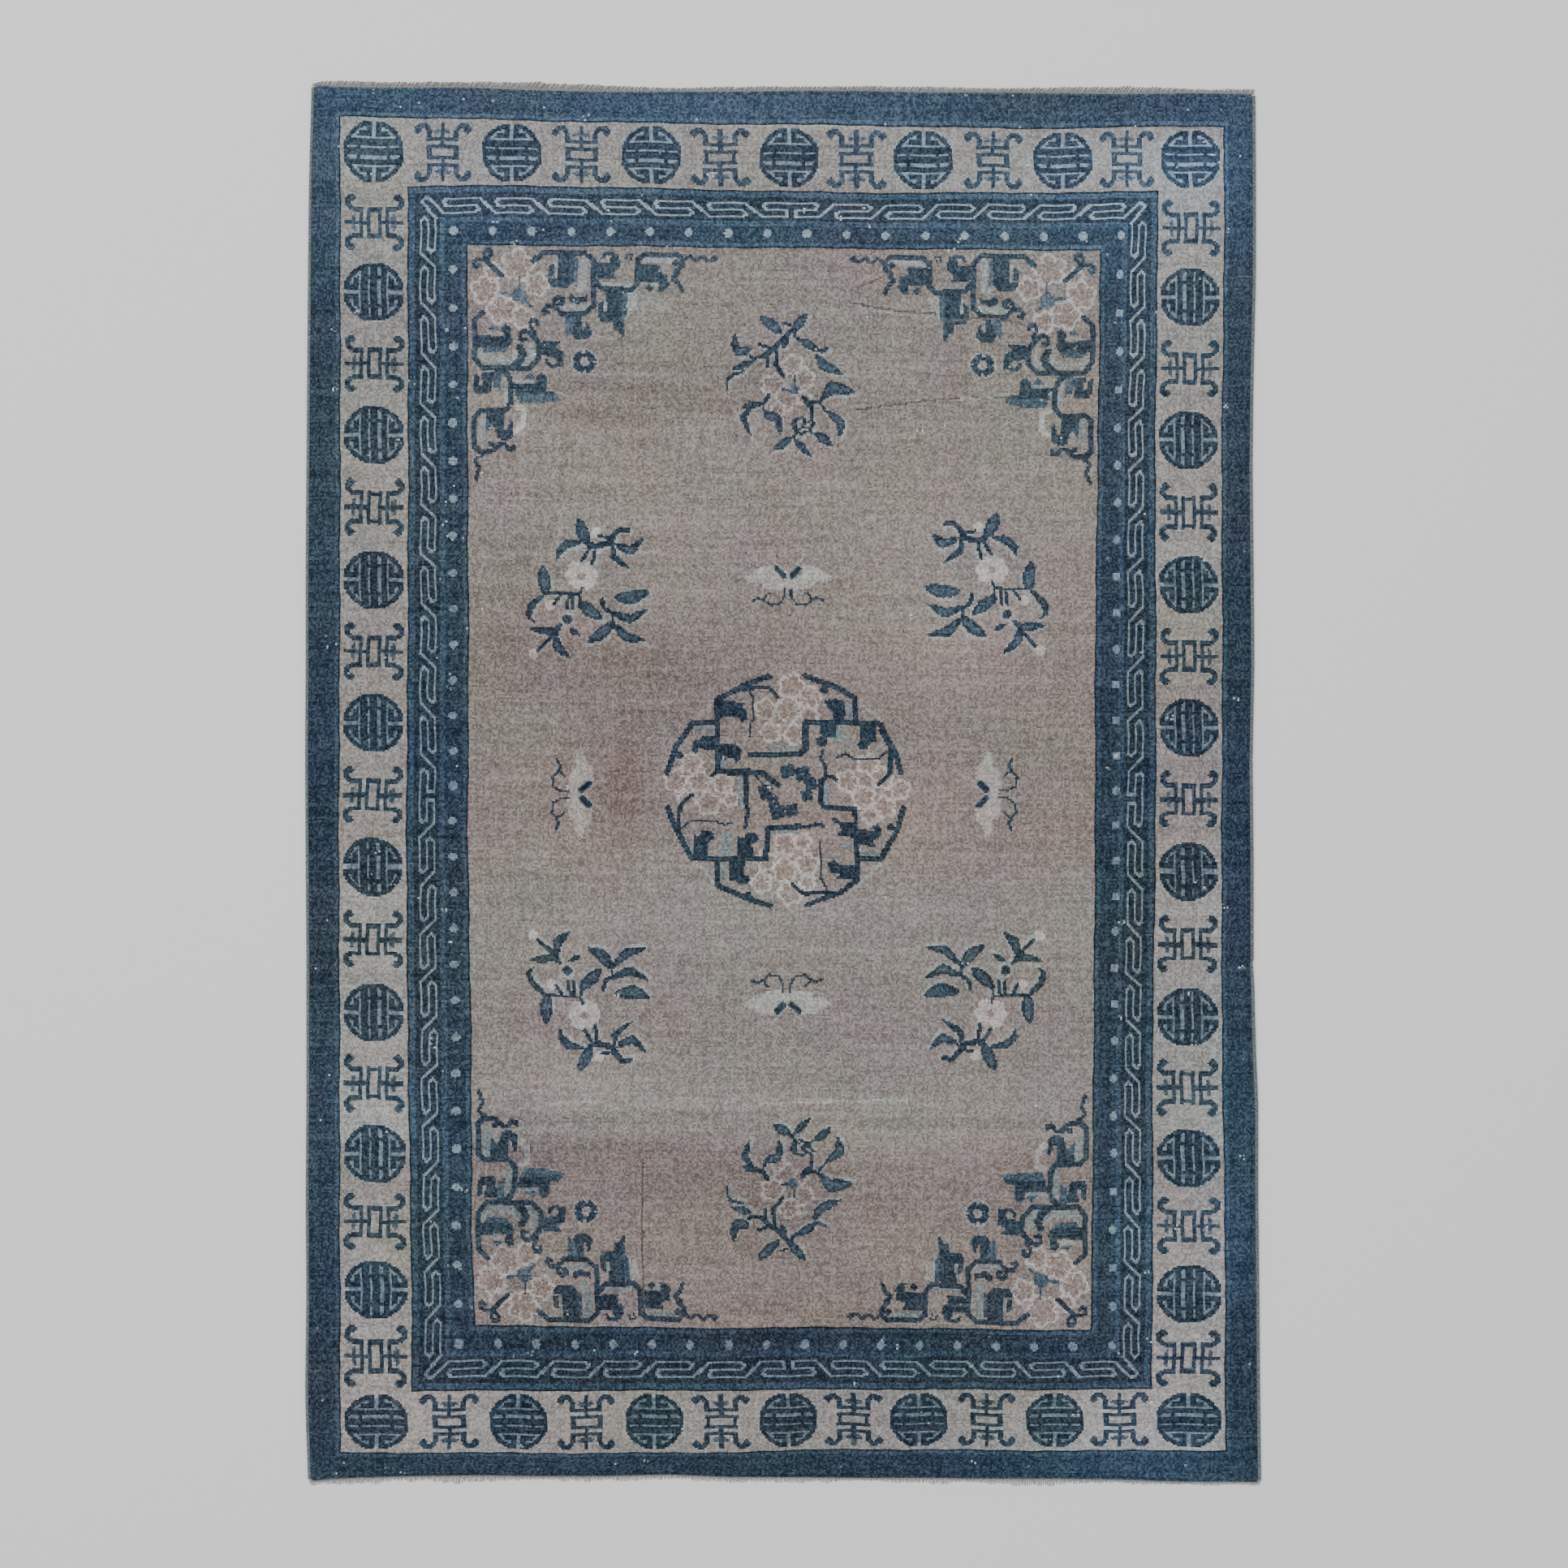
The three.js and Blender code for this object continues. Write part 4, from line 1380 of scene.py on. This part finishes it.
@dataclass(frozen=True)
class KnottedWool:
    """Dyed wool knots: uneven from knot to knot and row to row, with bands where the dye lots change."""

    name: str
    # How uneven the dye is from one knot, pair, warp, row or batch to the next, and in soft clouds
    knot_noise: float = 0.19
    pair_noise: float = 0.03
    warp_noise: float = 0.035
    row_noise: float = 0.045
    batch_noise: float = 0.13
    cloud_noise: float = 0.033
    patch_tint: float = 0.05
    # How many groups of knots dyed alike there are to a knot, across and along
    pair_steps: ClassVar[Point] = (0.5, 0.5)
    warp_steps: ClassVar[Point] = (0.7, 0.06)
    row_steps: ClassVar[Point] = (0.03, 1)
    # How often noises change in a metre: batches across, along and up, then clouds, patches and fibres
    batch_pace: ClassVar[tuple[float, float, float]] = (1.6, 42, 1)
    cloud_pace: float = 70.0
    patch_pace: float = 5.5
    fibre_pace: float = 620.0
    relief: float = 0.0006
    # The dye lots lie between this far before and past the rug's middle
    half_length: float = 1.35
    # Places along the rug from the near end, and what the dye lots there do to the blues and beiges
    blue_lots: ClassVar[tuple] = (
        (0.0, (0.43, 0.455, 0.46)),
        (0.1, (0.41, 0.42, 0.43)),
        (0.17, (0.47, 0.48, 0.48)),
        (0.28, (0.47, 0.475, 0.48)),
        (0.38, (0.46, 0.46, 0.45)),
        (0.5, (0.42, 0.44, 0.46)),
        (0.62, (0.46, 0.465, 0.47)),
        (0.73, (0.5, 0.5, 0.5)),
        (0.85, (0.53, 0.53, 0.53)),
        (1.0, (0.61, 0.61, 0.62)),
    )
    beige_lots: ClassVar[tuple] = (
        (0.0, (0.49, 0.49, 0.49)),
        (0.18, (0.482, 0.472, 0.472)),
        (0.235, (0.465, 0.45, 0.457)),
        (0.25, (0.51, 0.518, 0.518)),
        (0.33, (0.488, 0.486, 0.488)),
        (0.41, (0.512, 0.515, 0.518)),
        (0.47, (0.487, 0.471, 0.472)),
        (0.53, (0.482, 0.473, 0.474)),
        (0.59, (0.478, 0.465, 0.462)),
        (0.655, (0.512, 0.508, 0.508)),
        (0.74, (0.507, 0.505, 0.505)),
        (0.84, (0.492, 0.495, 0.497)),
        (1.0, (0.503, 0.51, 0.515)),
    )

    def material(self) -> bpy.types.Material:
        """Makes the material.

        Returns:
            The material, for a mesh with dyes on its faces and knots in its UV map.
        """
        bench = Bench(self.name, 0.93, 0.12)
        bench.surface.inputs["Sheen Roughness"].default_value = 0.6
        knots = bench.put("UVMap", uv_map="Knots")
        place = bench.put("TexCoord", take="Object")
        dye = bench.put("Attribute", attribute_name="dye", take="Color")
        shade = bench.put("Gamma", dye, 1 / DISPLAY_GAMMA)
        shade = bench.vector("MULTIPLY", shade, bench.vector("MULTIPLY", self.lots(bench, place), (2, 2, 2)))
        # Stains and faded places, with painted shade and highlight along creases
        stain_and_shade = bench.put("Attribute", attribute_name="stain_and_shade", take="Color")
        shade = bench.vector("MULTIPLY", shade, stain_and_shade)
        knot = self.in_steps(bench, knots, (1, 1))
        batches = bench.vector("MULTIPLY", place, self.batch_pace)
        noises = (
            (knot, self.knot_noise),
            (self.in_steps(bench, knots, self.pair_steps), self.pair_noise),
            (self.in_steps(bench, knots, self.warp_steps), self.warp_noise),
            (self.in_steps(bench, knots, self.row_steps), self.row_noise),
            (bench.put("TexNoise", batches, None, 1.0, 4.0, 0.6), self.batch_noise),
            (bench.put("TexNoise", place, None, self.cloud_pace, 4.0, 0.65), self.cloud_noise),
        )
        uneven = 0.0
        for noise, amount in noises:
            part = bench.math("MULTIPLY", bench.math("SUBTRACT", noise, 0.5), amount)
            uneven = bench.math("ADD", uneven, part)
        patch = bench.put("TexNoise", place, None, self.patch_pace, 3.0, 0.55, take="Color")
        patch = bench.vector("SUBTRACT", patch, (0.5, 0.5, 0.5))
        patch = bench.vector("MULTIPLY", patch, (self.patch_tint,) * 3)
        shade = bench.vector("ADD", bench.vector("ADD", shade, uneven), patch)
        shade = bench.put("Gamma", bench.vector("MAXIMUM", shade, (0.02, 0.02, 0.02)), DISPLAY_GAMMA)
        return bench.finish(shade, self.tufts(bench, knots, place, knot), self.relief, 0.45)

    def lots(self, bench: Bench, place: Socket) -> Socket:
        """Finds what the dye lots do to the colour, which isn't the same for the blues and the beiges.

        Args:
            bench: The material.
            place: Places on the rug.

        Returns:
            Half the share of each colour that is left.
        """
        family = bench.put("Attribute", attribute_name="dye", take="Alpha")
        length = bench.put("SeparateXYZ", place, take="Y")
        length = bench.put("MapRange", length, -self.half_length, self.half_length, 0.0, 1.0)
        blue, beige = bench.ramp(length, self.blue_lots), bench.ramp(length, self.beige_lots)
        return bench.put("MixRGB", family, blue, beige)

    def in_steps(self, bench: Bench, knots: Socket, steps: Point) -> Socket:
        """Makes a noise that changes from one group of knots to the next.

        Args:
            bench: The material.
            knots: Places on the chart.
            steps: How many groups there are to a knot, across and along.

        Returns:
            The noise, from 0 to 1.
        """
        groups = bench.vector("FLOOR", bench.vector("MULTIPLY", knots, (*steps, 0)))
        return bench.put("TexWhiteNoise", groups, noise_dimensions="2D")

    def tufts(self, bench: Bench, knots: Socket, place: Socket, knot: Socket) -> Socket:
        """Makes the relief: each knot a small rounded tuft of fibres, some taller than others.

        Args:
            bench: The material.
            knots: Places on the chart.
            place: Places on the rug.
            knot: The noise from knot to knot.

        Returns:
            The relief's height.
        """
        fibre = bench.put("TexNoise", place, None, self.fibre_pace, 3.0, 0.6)
        tuft = bench.vector("SUBTRACT", bench.vector("FRACTION", knots), (0.5, 0.5, 0))
        tuft = bench.put("VectorMath", tuft, tuft, operation="DOT_PRODUCT", take="Value")
        height = bench.math("ADD", bench.math("MULTIPLY", tuft, -1.6), bench.math("MULTIPLY", fibre, 0.9))
        return bench.math("ADD", height, bench.math("MULTIPLY", knot, 0.5))


@dataclass(frozen=True)
class Yarns:
    """Plied yarn of one colour, darker and lighter from strand to strand."""

    name: str
    dark: Colour
    light: Colour
    # How often strands and fibres change in a metre
    strand_pace: float
    fibre_pace: float = 1400.0

    def material(self) -> bpy.types.Material:
        """Makes the material.

        Returns:
            The material.
        """
        bench = Bench(self.name, 0.9, 0.1)
        place = bench.put("TexCoord", take="Object")
        strands = bench.put("TexNoise", place, None, self.strand_pace, 2.0, 0.6)
        fibre = bench.put("TexNoise", place, None, self.fibre_pace, 2.0, 0.6)
        both = bench.math("ADD", bench.math("MULTIPLY", strands, 0.8), bench.math("MULTIPLY", fibre, 0.2))
        colour = bench.ramp(both, ((0.36, linear(self.dark)), (0.64, linear(self.light))))
        return bench.finish(colour, fibre, 0.0004, 0.5)


@dataclass(frozen=True)
class PaleFloor:
    """The plain pale floor that the rug lies on."""

    colour: Colour = (0.9, 0.9, 0.9)

    def material(self) -> bpy.types.Material:
        """Makes the material."""
        return Bench("pale_floor", 0.9).finish(self.colour)


@dataclass
class KnotSheet:
    """The chart as a flat mesh, with patches of one yarn merged into larger faces."""

    chart: Chart
    # Merged faces end at every eighth knot, and the outermost two knots all round stay single
    span: int = 8
    rim: int = 2
    # Shares of the height of the sheet for baked materials: the shown face, and a strip for each other face
    shown_share: float = 0.985
    strip_share: float = 0.003

    def __post_init__(self) -> None:
        """Merges the chart's knots."""
        self.mesh = self.merged(self.single_knots())

    def single_knots(self) -> bpy.types.Mesh:
        """Makes one face a knot, and marks as seams the edges that must stay.

        Returns:
            The mesh, in knots.
        """
        grid = bmesh.new()
        bmesh.ops.create_grid(grid, x_segments=COLUMNS, y_segments=ROWS, size=1)
        bmesh.ops.scale(grid, vec=(COLUMNS / 2, ROWS / 2, 1), verts=grid.verts)
        bmesh.ops.translate(grid, vec=(COLUMNS / 2, ROWS / 2, 0), verts=grid.verts)
        mesh = mesh_from(grid, "knots")
        corners = vertices_of(mesh).round().astype(int)
        ends = np.empty(len(mesh.edges) * 2, dtype=np.int32)
        mesh.edges.foreach_get("vertices", ends)
        first, second = corners[ends[0::2]], corners[ends[1::2]]
        column = np.minimum(first[:, 0], second[:, 0])
        row = np.minimum(first[:, 1], second[:, 1])
        along = first[:, 0] == second[:, 0]
        knots = self.chart.knots
        here = knots[np.clip(row, 0, ROWS - 1), np.clip(column, 0, COLUMNS - 1)]
        before = knots[np.clip(row - ~along, 0, ROWS - 1), np.clip(column - along, 0, COLUMNS - 1)]
        place, size = np.where(along, column, row), np.where(along, COLUMNS, ROWS)
        kept = (here != before) | (place % self.span == 0) | (np.minimum(place, size - place) <= self.rim)
        mesh.edges.foreach_set("use_seam", kept)
        return mesh

    def merged(self, mesh: bpy.types.Mesh) -> bpy.types.Mesh:
        """Merges knots between seams and cuts the faces into triangles.

        Args:
            mesh: One face a knot.

        Returns:
            The same mesh with far fewer faces.
        """
        patches = bmesh.new()
        patches.from_mesh(mesh)
        bmesh.ops.dissolve_limit(
            patches, angle_limit=0.01, verts=patches.verts, edges=patches.edges, delimit={"SEAM"}
        )
        bmesh.ops.triangulate(patches, faces=patches.faces)
        patches.to_mesh(mesh)
        patches.free()
        return mesh

    def dye(self, mesh: bpy.types.Mesh, knots: np.ndarray) -> None:
        """Gives each face its yarn's colour, its stains and painted crease shade, and each corner its place
        on the chart.

        Args:
            mesh: A mesh of triangles.
            knots: Each of its vertices' column, row and level.
        """
        corners = np.empty(len(mesh.loops), dtype=np.int32)
        mesh.loops.foreach_get("vertex_index", corners)
        corners = corners.reshape(-1, 3)
        column, row, level = knots[corners].mean(axis=1).T
        column = np.clip(column.astype(int), 0, COLUMNS - 1)
        row = np.clip(row.astype(int), 0, ROWS - 1)
        palette = np.array([(*linear(DYES[yarn]), 0.0 if yarn in BLUES else 1.0) for yarn in Yarn])
        # Painted shade between the tufts darkens every dye
        palette[:, :3] *= PAINTED_PILE_SHADE
        dyes = palette[self.chart.knots[row, column]].ravel().astype(np.float32)
        mesh.attributes.new("dye", "FLOAT_COLOR", "FACE").data.foreach_set("color", dyes)
        self.stain_and_shade(mesh, knots)
        self.unwrap(mesh, knots[corners].reshape(-1, 3), np.repeat(level, 3))

    def stain_and_shade(self, mesh: bpy.types.Mesh, knots: np.ndarray) -> None:
        """Darkens and lightens soft places: stains and faded places where use has done so, and painted shade
        and highlight along creases.

        Args:
            mesh: The mesh.
            knots: Each of its vertices' column, row and level.
        """
        stain_and_shade = np.ones((len(knots), 4))
        for column, row, across, along, change in WearAndCreaseShading.stains_and_shading:
            reach = np.exp(-(((knots[:, 0] - column) / across) ** 2) - ((knots[:, 1] - row) / along) ** 2)
            stain_and_shade[:, :3] += reach[:, None] * np.array(change)
        mesh.attributes.new("stain_and_shade", "FLOAT_COLOR", "POINT").data.foreach_set("color", stain_and_shade.ravel())

    def unwrap(self, mesh: bpy.types.Mesh, corners: np.ndarray, level: np.ndarray) -> None:
        """Lays the faces out on the chart, and once each on the sheet for baked materials.

        Args:
            mesh: The mesh.
            corners: Each face corner's column, row and level.
            level: The mean level of the face that each corner is of.
        """
        on_chart = mesh.uv_layers.new(name="Knots")
        on_chart.data.foreach_set("uv", corners[:, :2].ravel().astype(np.float32))
        across, along = corners[:, 0] / COLUMNS, corners[:, 1] / ROWS
        shown, hidden = level > -0.01, level < -0.99
        u = np.where(shown, across, (across + along) / 2)
        rim = self.strip_share * 2 + self.strip_share * (1 + corners[:, 2])
        v = np.where(hidden, self.strip_share * along, rim)
        v = np.where(shown, 1 - self.shown_share * along, v)
        on_sheet = mesh.uv_layers.new(name="OFBake")
        on_sheet.data.foreach_set("uv", np.stack([u, v], axis=1).ravel().astype(np.float32))


@dataclass
class KnottedLayer:
    """One layer of the carpet, patterned on its shown face: the pile from above, the ground from below."""

    name: str
    finish: KnottedWool
    shown_height: float
    hidden_height: float
    # How far in from the rug's edges the layer ends: the places shift from this far out, over this stretch
    inset: float = 0.0
    inset_from: ClassVar[Point] = (0.8, 1.2)
    inset_over: float = 0.1
    # How far the shown face drops at the edge, and over how many knots
    edge_droop: float = 0.0
    droop_over: float = 2
    # How deep it is creased and rippled, a crease's reach in knots, and the ripples' share of the depth
    crease_depth: float = 0.0
    crease_reach: float = 2.4
    ripple_share: float = 0.14
    # The ripples: radians for each metre across and along, and start
    ripples: ClassVar[tuple] = ((5.1, 2.3, 0), (-1.9, 6.7, 1))

    def build(self, sheet: KnotSheet, weave: Weave) -> bpy.types.Object:
        """Makes the layer and dresses it.

        Args:
            sheet: The chart's merged knots.
            weave: Where knots lie.

        Returns:
            The piece.
        """
        layer = bmesh.new()
        layer.from_mesh(sheet.mesh)
        rim = [edge for edge in layer.edges if edge.is_boundary]
        wall = bmesh.ops.extrude_edge_only(layer, edges=rim)["geom"]
        corners = [part for part in wall if isinstance(part, bmesh.types.BMVert)]
        bmesh.ops.translate(layer, vec=(0, 0, -1), verts=corners)
        bottom = [part for part in wall if isinstance(part, bmesh.types.BMEdge) and part.is_boundary]
        bmesh.ops.edgeloop_fill(layer, edges=bottom)
        bmesh.ops.triangulate(layer, faces=[face for face in layer.faces if len(face.verts) > 3])
        mesh = mesh_from(layer, self.name)
        knots = vertices_of(mesh)
        mesh.vertices.foreach_set("co", self.placed(knots, weave).ravel())
        sheet.dye(mesh, knots)
        closed = bmesh.new()
        closed.from_mesh(mesh)
        bmesh.ops.recalc_face_normals(closed, faces=closed.faces)
        closed.to_mesh(mesh)
        closed.free()
        log.info("%s: %d faces", self.name, len(mesh.polygons))
        return piece_from(mesh, self.finish.material())

    def placed(self, knots: np.ndarray, weave: Weave) -> np.ndarray:
        """Lays the layer's vertices on the floor.

        Args:
            knots: Each vertex's column, row and level, 0 on the shown face and -1 on the hidden one.
            weave: Where knots lie.

        Returns:
            Their places in metres.
        """
        columns, rows, level = knots.T
        x, y = weave.place(columns, rows)
        for places, start in zip((x, y), self.inset_from):
            share = np.clip(np.abs(places) - start, 0, self.inset_over) / self.inset_over
            places -= np.sign(places) * self.inset * share
        droop = np.clip(1 - inward(columns, rows) / self.droop_over, 0, 1) ** 2
        ripple = sum(1 + np.sin(x * across + y * along + start) for across, along, start in self.ripples)
        height = self.shown_height - self.edge_droop * droop
        height -= self.crease_depth * (self.ripple_share * ripple + self.creased(columns, rows))
        return np.stack([x, y, np.where(level < -0.5, self.hidden_height, height)], axis=1)

    def creased(self, columns: np.ndarray, rows: np.ndarray) -> np.ndarray:
        """Finds how deep in a crease each knot is.

        Args:
            columns: Places across the chart.
            rows: Places along it.

        Returns:
            From 0 on flat pile to 1 at the bottom of a crease.
        """
        near = np.minimum.reduce([distance(points, columns, rows) for points in WearAndCreaseShading.creases])
        return np.exp(-((near / self.crease_reach) ** 2))


@dataclass
class Selvage:
    """An overcast side cord: yarn wrapped round and round the edge, each turn a ridge."""

    side: str
    finish: Yarns
    width: float = 0.0074
    height: float = 0.0072
    # One turn of the yarn: its length along the cord, how far it stands out, and how far it slants
    turn: float = 0.0064
    ridge: float = 0.13
    slant: float = 0.0024
    sides: int = 10
    rings: int = 4
    # How uneven the turns are: two waves, each with its size and its radians for each ring
    uneven: ClassVar[tuple] = ((0.03, 1.7), (0.02, 0.37))

    def build(self) -> bpy.types.Object:
        """Makes the cord and dresses it.

        Returns:
            The piece.
        """
        node = f"selvage_{self.side}"
        outward = -1 if self.side == "left" else 1
        places, outer = edge_of(node, 1, outward)
        start, end = places[0] + self.slant, places[-1] - self.slant
        turns = int((end - start) / self.turn)
        count = turns * self.rings
        cord = bmesh.new()
        bmesh.ops.create_grid(cord, x_segments=self.sides, y_segments=count, size=1)
        for vert in cord.verts:
            angle = math.pi * (vert.co.x + 1)
            ring = round((vert.co.y + 1) / 2 * count)
            y = start + (end - start) * ring / count
            swell = 1 - self.ridge * (1 - math.sin(math.pi * (ring % self.rings) / self.rings))
            swell *= 1 - sum(size * math.sin(ring * pace) for size, pace in self.uneven)
            middle = np.interp(y, places, outer) - outward * self.width / 2
            z = self.height / 2 * (1 + swell * math.sin(angle))
            x = middle + self.width / 2 * swell * math.cos(angle)
            vert.co = (x, y + self.slant * math.cos(angle) * (0 < ring < count), max(z, 0.0))
        bmesh.ops.remove_doubles(cord, verts=cord.verts, dist=1e-6)
        bmesh.ops.holes_fill(cord, edges=cord.edges, sides=self.sides)
        bmesh.ops.recalc_face_normals(cord, faces=cord.faces)
        mesh = mesh_from(cord, f"overcast_{self.side}")
        mesh.shade_smooth()
        piece = piece_from(mesh, self.finish.material())
        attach(piece, "root")
        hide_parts(node)
        log.info("%s: %d turns", piece.name, turns)
        return piece


@dataclass
class Fringe:
    """The warp ends past the pile: a narrow woven web, then short cut strands in locks."""

    end: str
    finish: Yarns
    # How far strands lean for their length, how ragged they are, and how many make a lock
    lean: float
    ragged: float
    lock: int
    seed: int
    strands: int = 560
    strand_radius: float = 0.0011
    # How far in from the fringe's sides strands start, and how near to them they may come
    side_gap: float = 0.004
    least_gap: float = 0.001
    # How far past the pile's edge strands start
    root_gap: float = 0.0012
    # How much whole locks and a lock's outer strands are cut short at most, and the least share that is left
    short_lock: float = 0.3
    short_side: float = 0.35
    least_length: float = 0.9
    # How far strands drift sideways: fanned out in their lock, with the whole lock, and alone
    fan: float = 0.004
    lock_drift: float = 0.0015
    strand_drift: float = 0.0012
    # Places along a strand, how it bends and narrows, and how much every other one is raised at its root
    joints: ClassVar[tuple[float, ...]] = (0.0, 0.35, 0.7, 1.0)
    bend: float = 1.3
    narrowing: float = 0.35
    raised: float = 0.5
    # The web, which gets thinner outward, and the gaps that it leaves at the pile, the sides and the floor
    web: float = 0.004
    web_thickness: float = 0.0018
    web_thinning: float = 0.4
    web_columns: int = 260
    web_gap: float = 0.0006
    web_side_gap: float = 0.002
    web_rise: float = 0.0004
    floor_gap: float = 0.0001

    def build(self) -> bpy.types.Object:
        """Makes the web and its strands and dresses them.

        Returns:
            The piece.
        """
        node = f"fringe_{self.end}"
        outward = 1 if self.end == "far" else -1
        low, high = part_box(node)
        root = edge_of("pile_carpet", 0, outward)
        fringe = bmesh.new()
        fringe.from_mesh(self.cut_strands((low.x, high.x), root, edge_of(node, 0, outward), outward))
        self.add_web(fringe, (low.x + self.web_side_gap, high.x - self.web_side_gap), root, outward)
        piece = piece_from(mesh_from(fringe, f"cut_fringe_{self.end}"), self.finish.material())
        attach(piece, "root")
        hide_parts(node)
        log.info("%s: %d strands", piece.name, self.strands)
        return piece

    def cut_strands(self, sides: Point, root: tuple, tip: tuple, outward: int) -> bpy.types.Mesh:
        """Lays out the strands.

        Args:
            sides: The fringe's left and right sides.
            root: The pile's edge, places across and how far out it is at each.
            tip: The same for the strands' ends.
            outward: The way out from the pile, 1 or -1.

        Returns:
            Their mesh.
        """
        left, right = sides
        picks = random.Random(self.seed)
        curve = bpy.data.curves.new(f"cut_{self.end}", "CURVE")
        curve.dimensions = "3D"
        curve.bevel_depth = self.strand_radius
        curve.bevel_resolution = 0
        curve.use_fill_caps = True
        lock_lean, lock_cut = 0.0, 1.0
        for index in range(self.strands):
            if index % self.lock == 0:
                lock_lean = picks.uniform(-1, 1) * self.ragged
                lock_cut = 1 - picks.uniform(0, self.short_lock) * self.ragged
            x = left + self.side_gap + (right - left - 2 * self.side_gap) * (index + 0.5) / self.strands
            base = np.interp(x, *root) + outward * self.root_gap
            off_middle = (index % self.lock + 0.5) / self.lock - 0.5
            bow = 1 - self.short_side * self.ragged * (off_middle * 2) ** 2
            length = (np.interp(x, *tip) - base) * lock_cut * bow * picks.uniform(self.least_length, 1.0)
            drift = self.lean * abs(length) + off_middle * self.ragged * self.fan
            drift += lock_lean * self.lock_drift + picks.uniform(-1, 1) * self.strand_drift
            spline = curve.splines.new("POLY")
            spline.points.add(len(self.joints) - 1)
            for point, along in zip(spline.points, self.joints):
                across = max(x + drift * along**self.bend, left + self.least_gap)
                across = min(across, right - self.least_gap)
                rise = self.strand_radius * (1 + index % 2 * self.raised * (1 - along))
                point.co = (across, base + length * along, rise, 1)
                point.radius = 1 - self.narrowing * along
        made = bpy.data.objects.new("strands", curve)
        strands = bpy.data.meshes.new_from_object(made)
        bpy.data.objects.remove(made)
        return strands

    def add_web(self, fringe: bmesh.types.BMesh, sides: Point, root: tuple, outward: int) -> None:
        """Adds the narrow woven web that the strands leave.

        Args:
            fringe: The strands' mesh.
            sides: Where the web starts and ends.
            root: The pile's edge, places across and how far out it is at each.
            outward: The way out from the pile, 1 or -1.
        """
        left, right = sides
        web = bmesh.ops.create_grid(fringe, x_segments=self.web_columns, y_segments=2, size=1)["verts"]
        for vert in web:
            x = left + (right - left) * (vert.co.x + 1) / 2
            out = (vert.co.y + 1) / 2
            y = np.interp(x, *root) + outward * (self.web_gap + self.web * out)
            vert.co = (x, y, self.web_rise + self.web_thickness * (1 - self.web_thinning * out))
        faces = list({face for vert in web for face in vert.link_faces})
        walls = bmesh.ops.extrude_face_region(fringe, geom=faces)["geom"]
        for vert in [part for part in walls if isinstance(part, bmesh.types.BMVert)]:
            vert.co.z = self.floor_gap
        bmesh.ops.recalc_face_normals(fringe, faces=fringe.faces)


@dataclass
class Studio:
    """The camera, straight above, the pale floor and soft light from all round."""

    lens: float = 85.0
    sensor: float = 36.0
    floor_half: float = 12.0
    sky: float = 0.66
    lamp_watts: float = 760.0
    lamp_size: float = 8.0
    lamp_place: tuple[float, float, float] = (-3.0, 3.4, 10.0)

    def camera(self) -> None:
        """Hangs the camera over the photograph's middle."""
        camera = bpy.data.cameras.new("camera")
        camera.lens = self.lens
        camera.sensor_width = self.sensor
        holder = bpy.data.objects.new("camera", camera)
        bpy.context.collection.objects.link(holder)
        rise = PHOTO_SPAN * self.lens / self.sensor
        holder.location = (PHOTO_MIDDLE.x, PHOTO_MIDDLE.y, rise + CAD_BOX[1].z)
        bpy.context.scene.camera = holder

    def light(self) -> None:
        """Lights the rug evenly from the sky and one large lamp."""
        world = bpy.data.worlds.new("sky")
        bpy.context.scene.world = world
        world.use_nodes = True
        sky = world.node_tree.nodes["Background"]
        sky.inputs["Color"].default_value = (1, 1, 1, 1)
        sky.inputs["Strength"].default_value = self.sky
        lamp = bpy.data.lights.new("lamp", "AREA")
        lamp.energy = self.lamp_watts
        lamp.shape = "DISK"
        lamp.size = self.lamp_size
        holder = bpy.data.objects.new("lamp", lamp)
        holder.location = self.lamp_place
        holder.rotation_euler = (-holder.location).to_track_quat("-Z", "Y").to_euler()
        bpy.context.collection.objects.link(holder)

    def floor(self) -> None:
        """Lays the floor under the rug."""
        ground = bmesh.new()
        bmesh.ops.create_grid(ground, x_segments=1, y_segments=1, size=self.floor_half)
        piece_from(mesh_from(ground, "floor"), PaleFloor().material())


def main() -> None:
    """Builds the rug in the order it is made, and reports each piece."""
    logging.basicConfig(level=logging.INFO, format="%(name)s %(message)s")
    studio = Studio()
    studio.camera()
    studio.light()
    studio.floor()
    chart = Chart()
    for pattern in (Borders(), Spandrels(), Sprigs(), Medallion(), Butterflies(), WearAndCreaseShading()):
        pattern.chart(chart)
        log.info("charted %s", type(pattern).__name__)
    sheet = KnotSheet(chart)
    weave = Weave()
    pile = KnottedLayer(
        "knotted_pile",
        KnottedWool("wool_pile"),
        shown_height=0.009,
        hidden_height=0.0022,
        edge_droop=0.0022,
        crease_depth=0.0009,
    )
    back = KnottedWool("woven_back", knot_noise=0.07)
    ground = KnottedLayer("woven_ground", back, shown_height=0.0, hidden_height=0.002, inset=0.0012)
    pieces = [layer.build(sheet, weave) for layer in (pile, ground)]
    for piece in pieces:
        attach(piece, "root")
        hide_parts("pile_carpet")
    wool = Yarns("overcast_wool", dark=(58, 72, 82), light=(132, 142, 147), strand_pace=330.0)
    far_cotton = Yarns("greyed_cotton", dark=(100, 98, 95), light=(174, 172, 169), strand_pace=420.0)
    near_cotton = Yarns("bright_cotton", dark=(112, 114, 116), light=(190, 191, 192), strand_pace=420.0)
    around = [Selvage("left", wool).build(), Selvage("right", wool).build()]
    around.append(Fringe("far", far_cotton, lean=0.7, ragged=0.35, lock=9, seed=11).build())
    around.append(Fringe("near", near_cotton, lean=-0.1, ragged=1.0, lock=7, seed=37).build())
    bpy.data.meshes.remove(sheet.mesh)


if __name__ == "__main__":
    main()
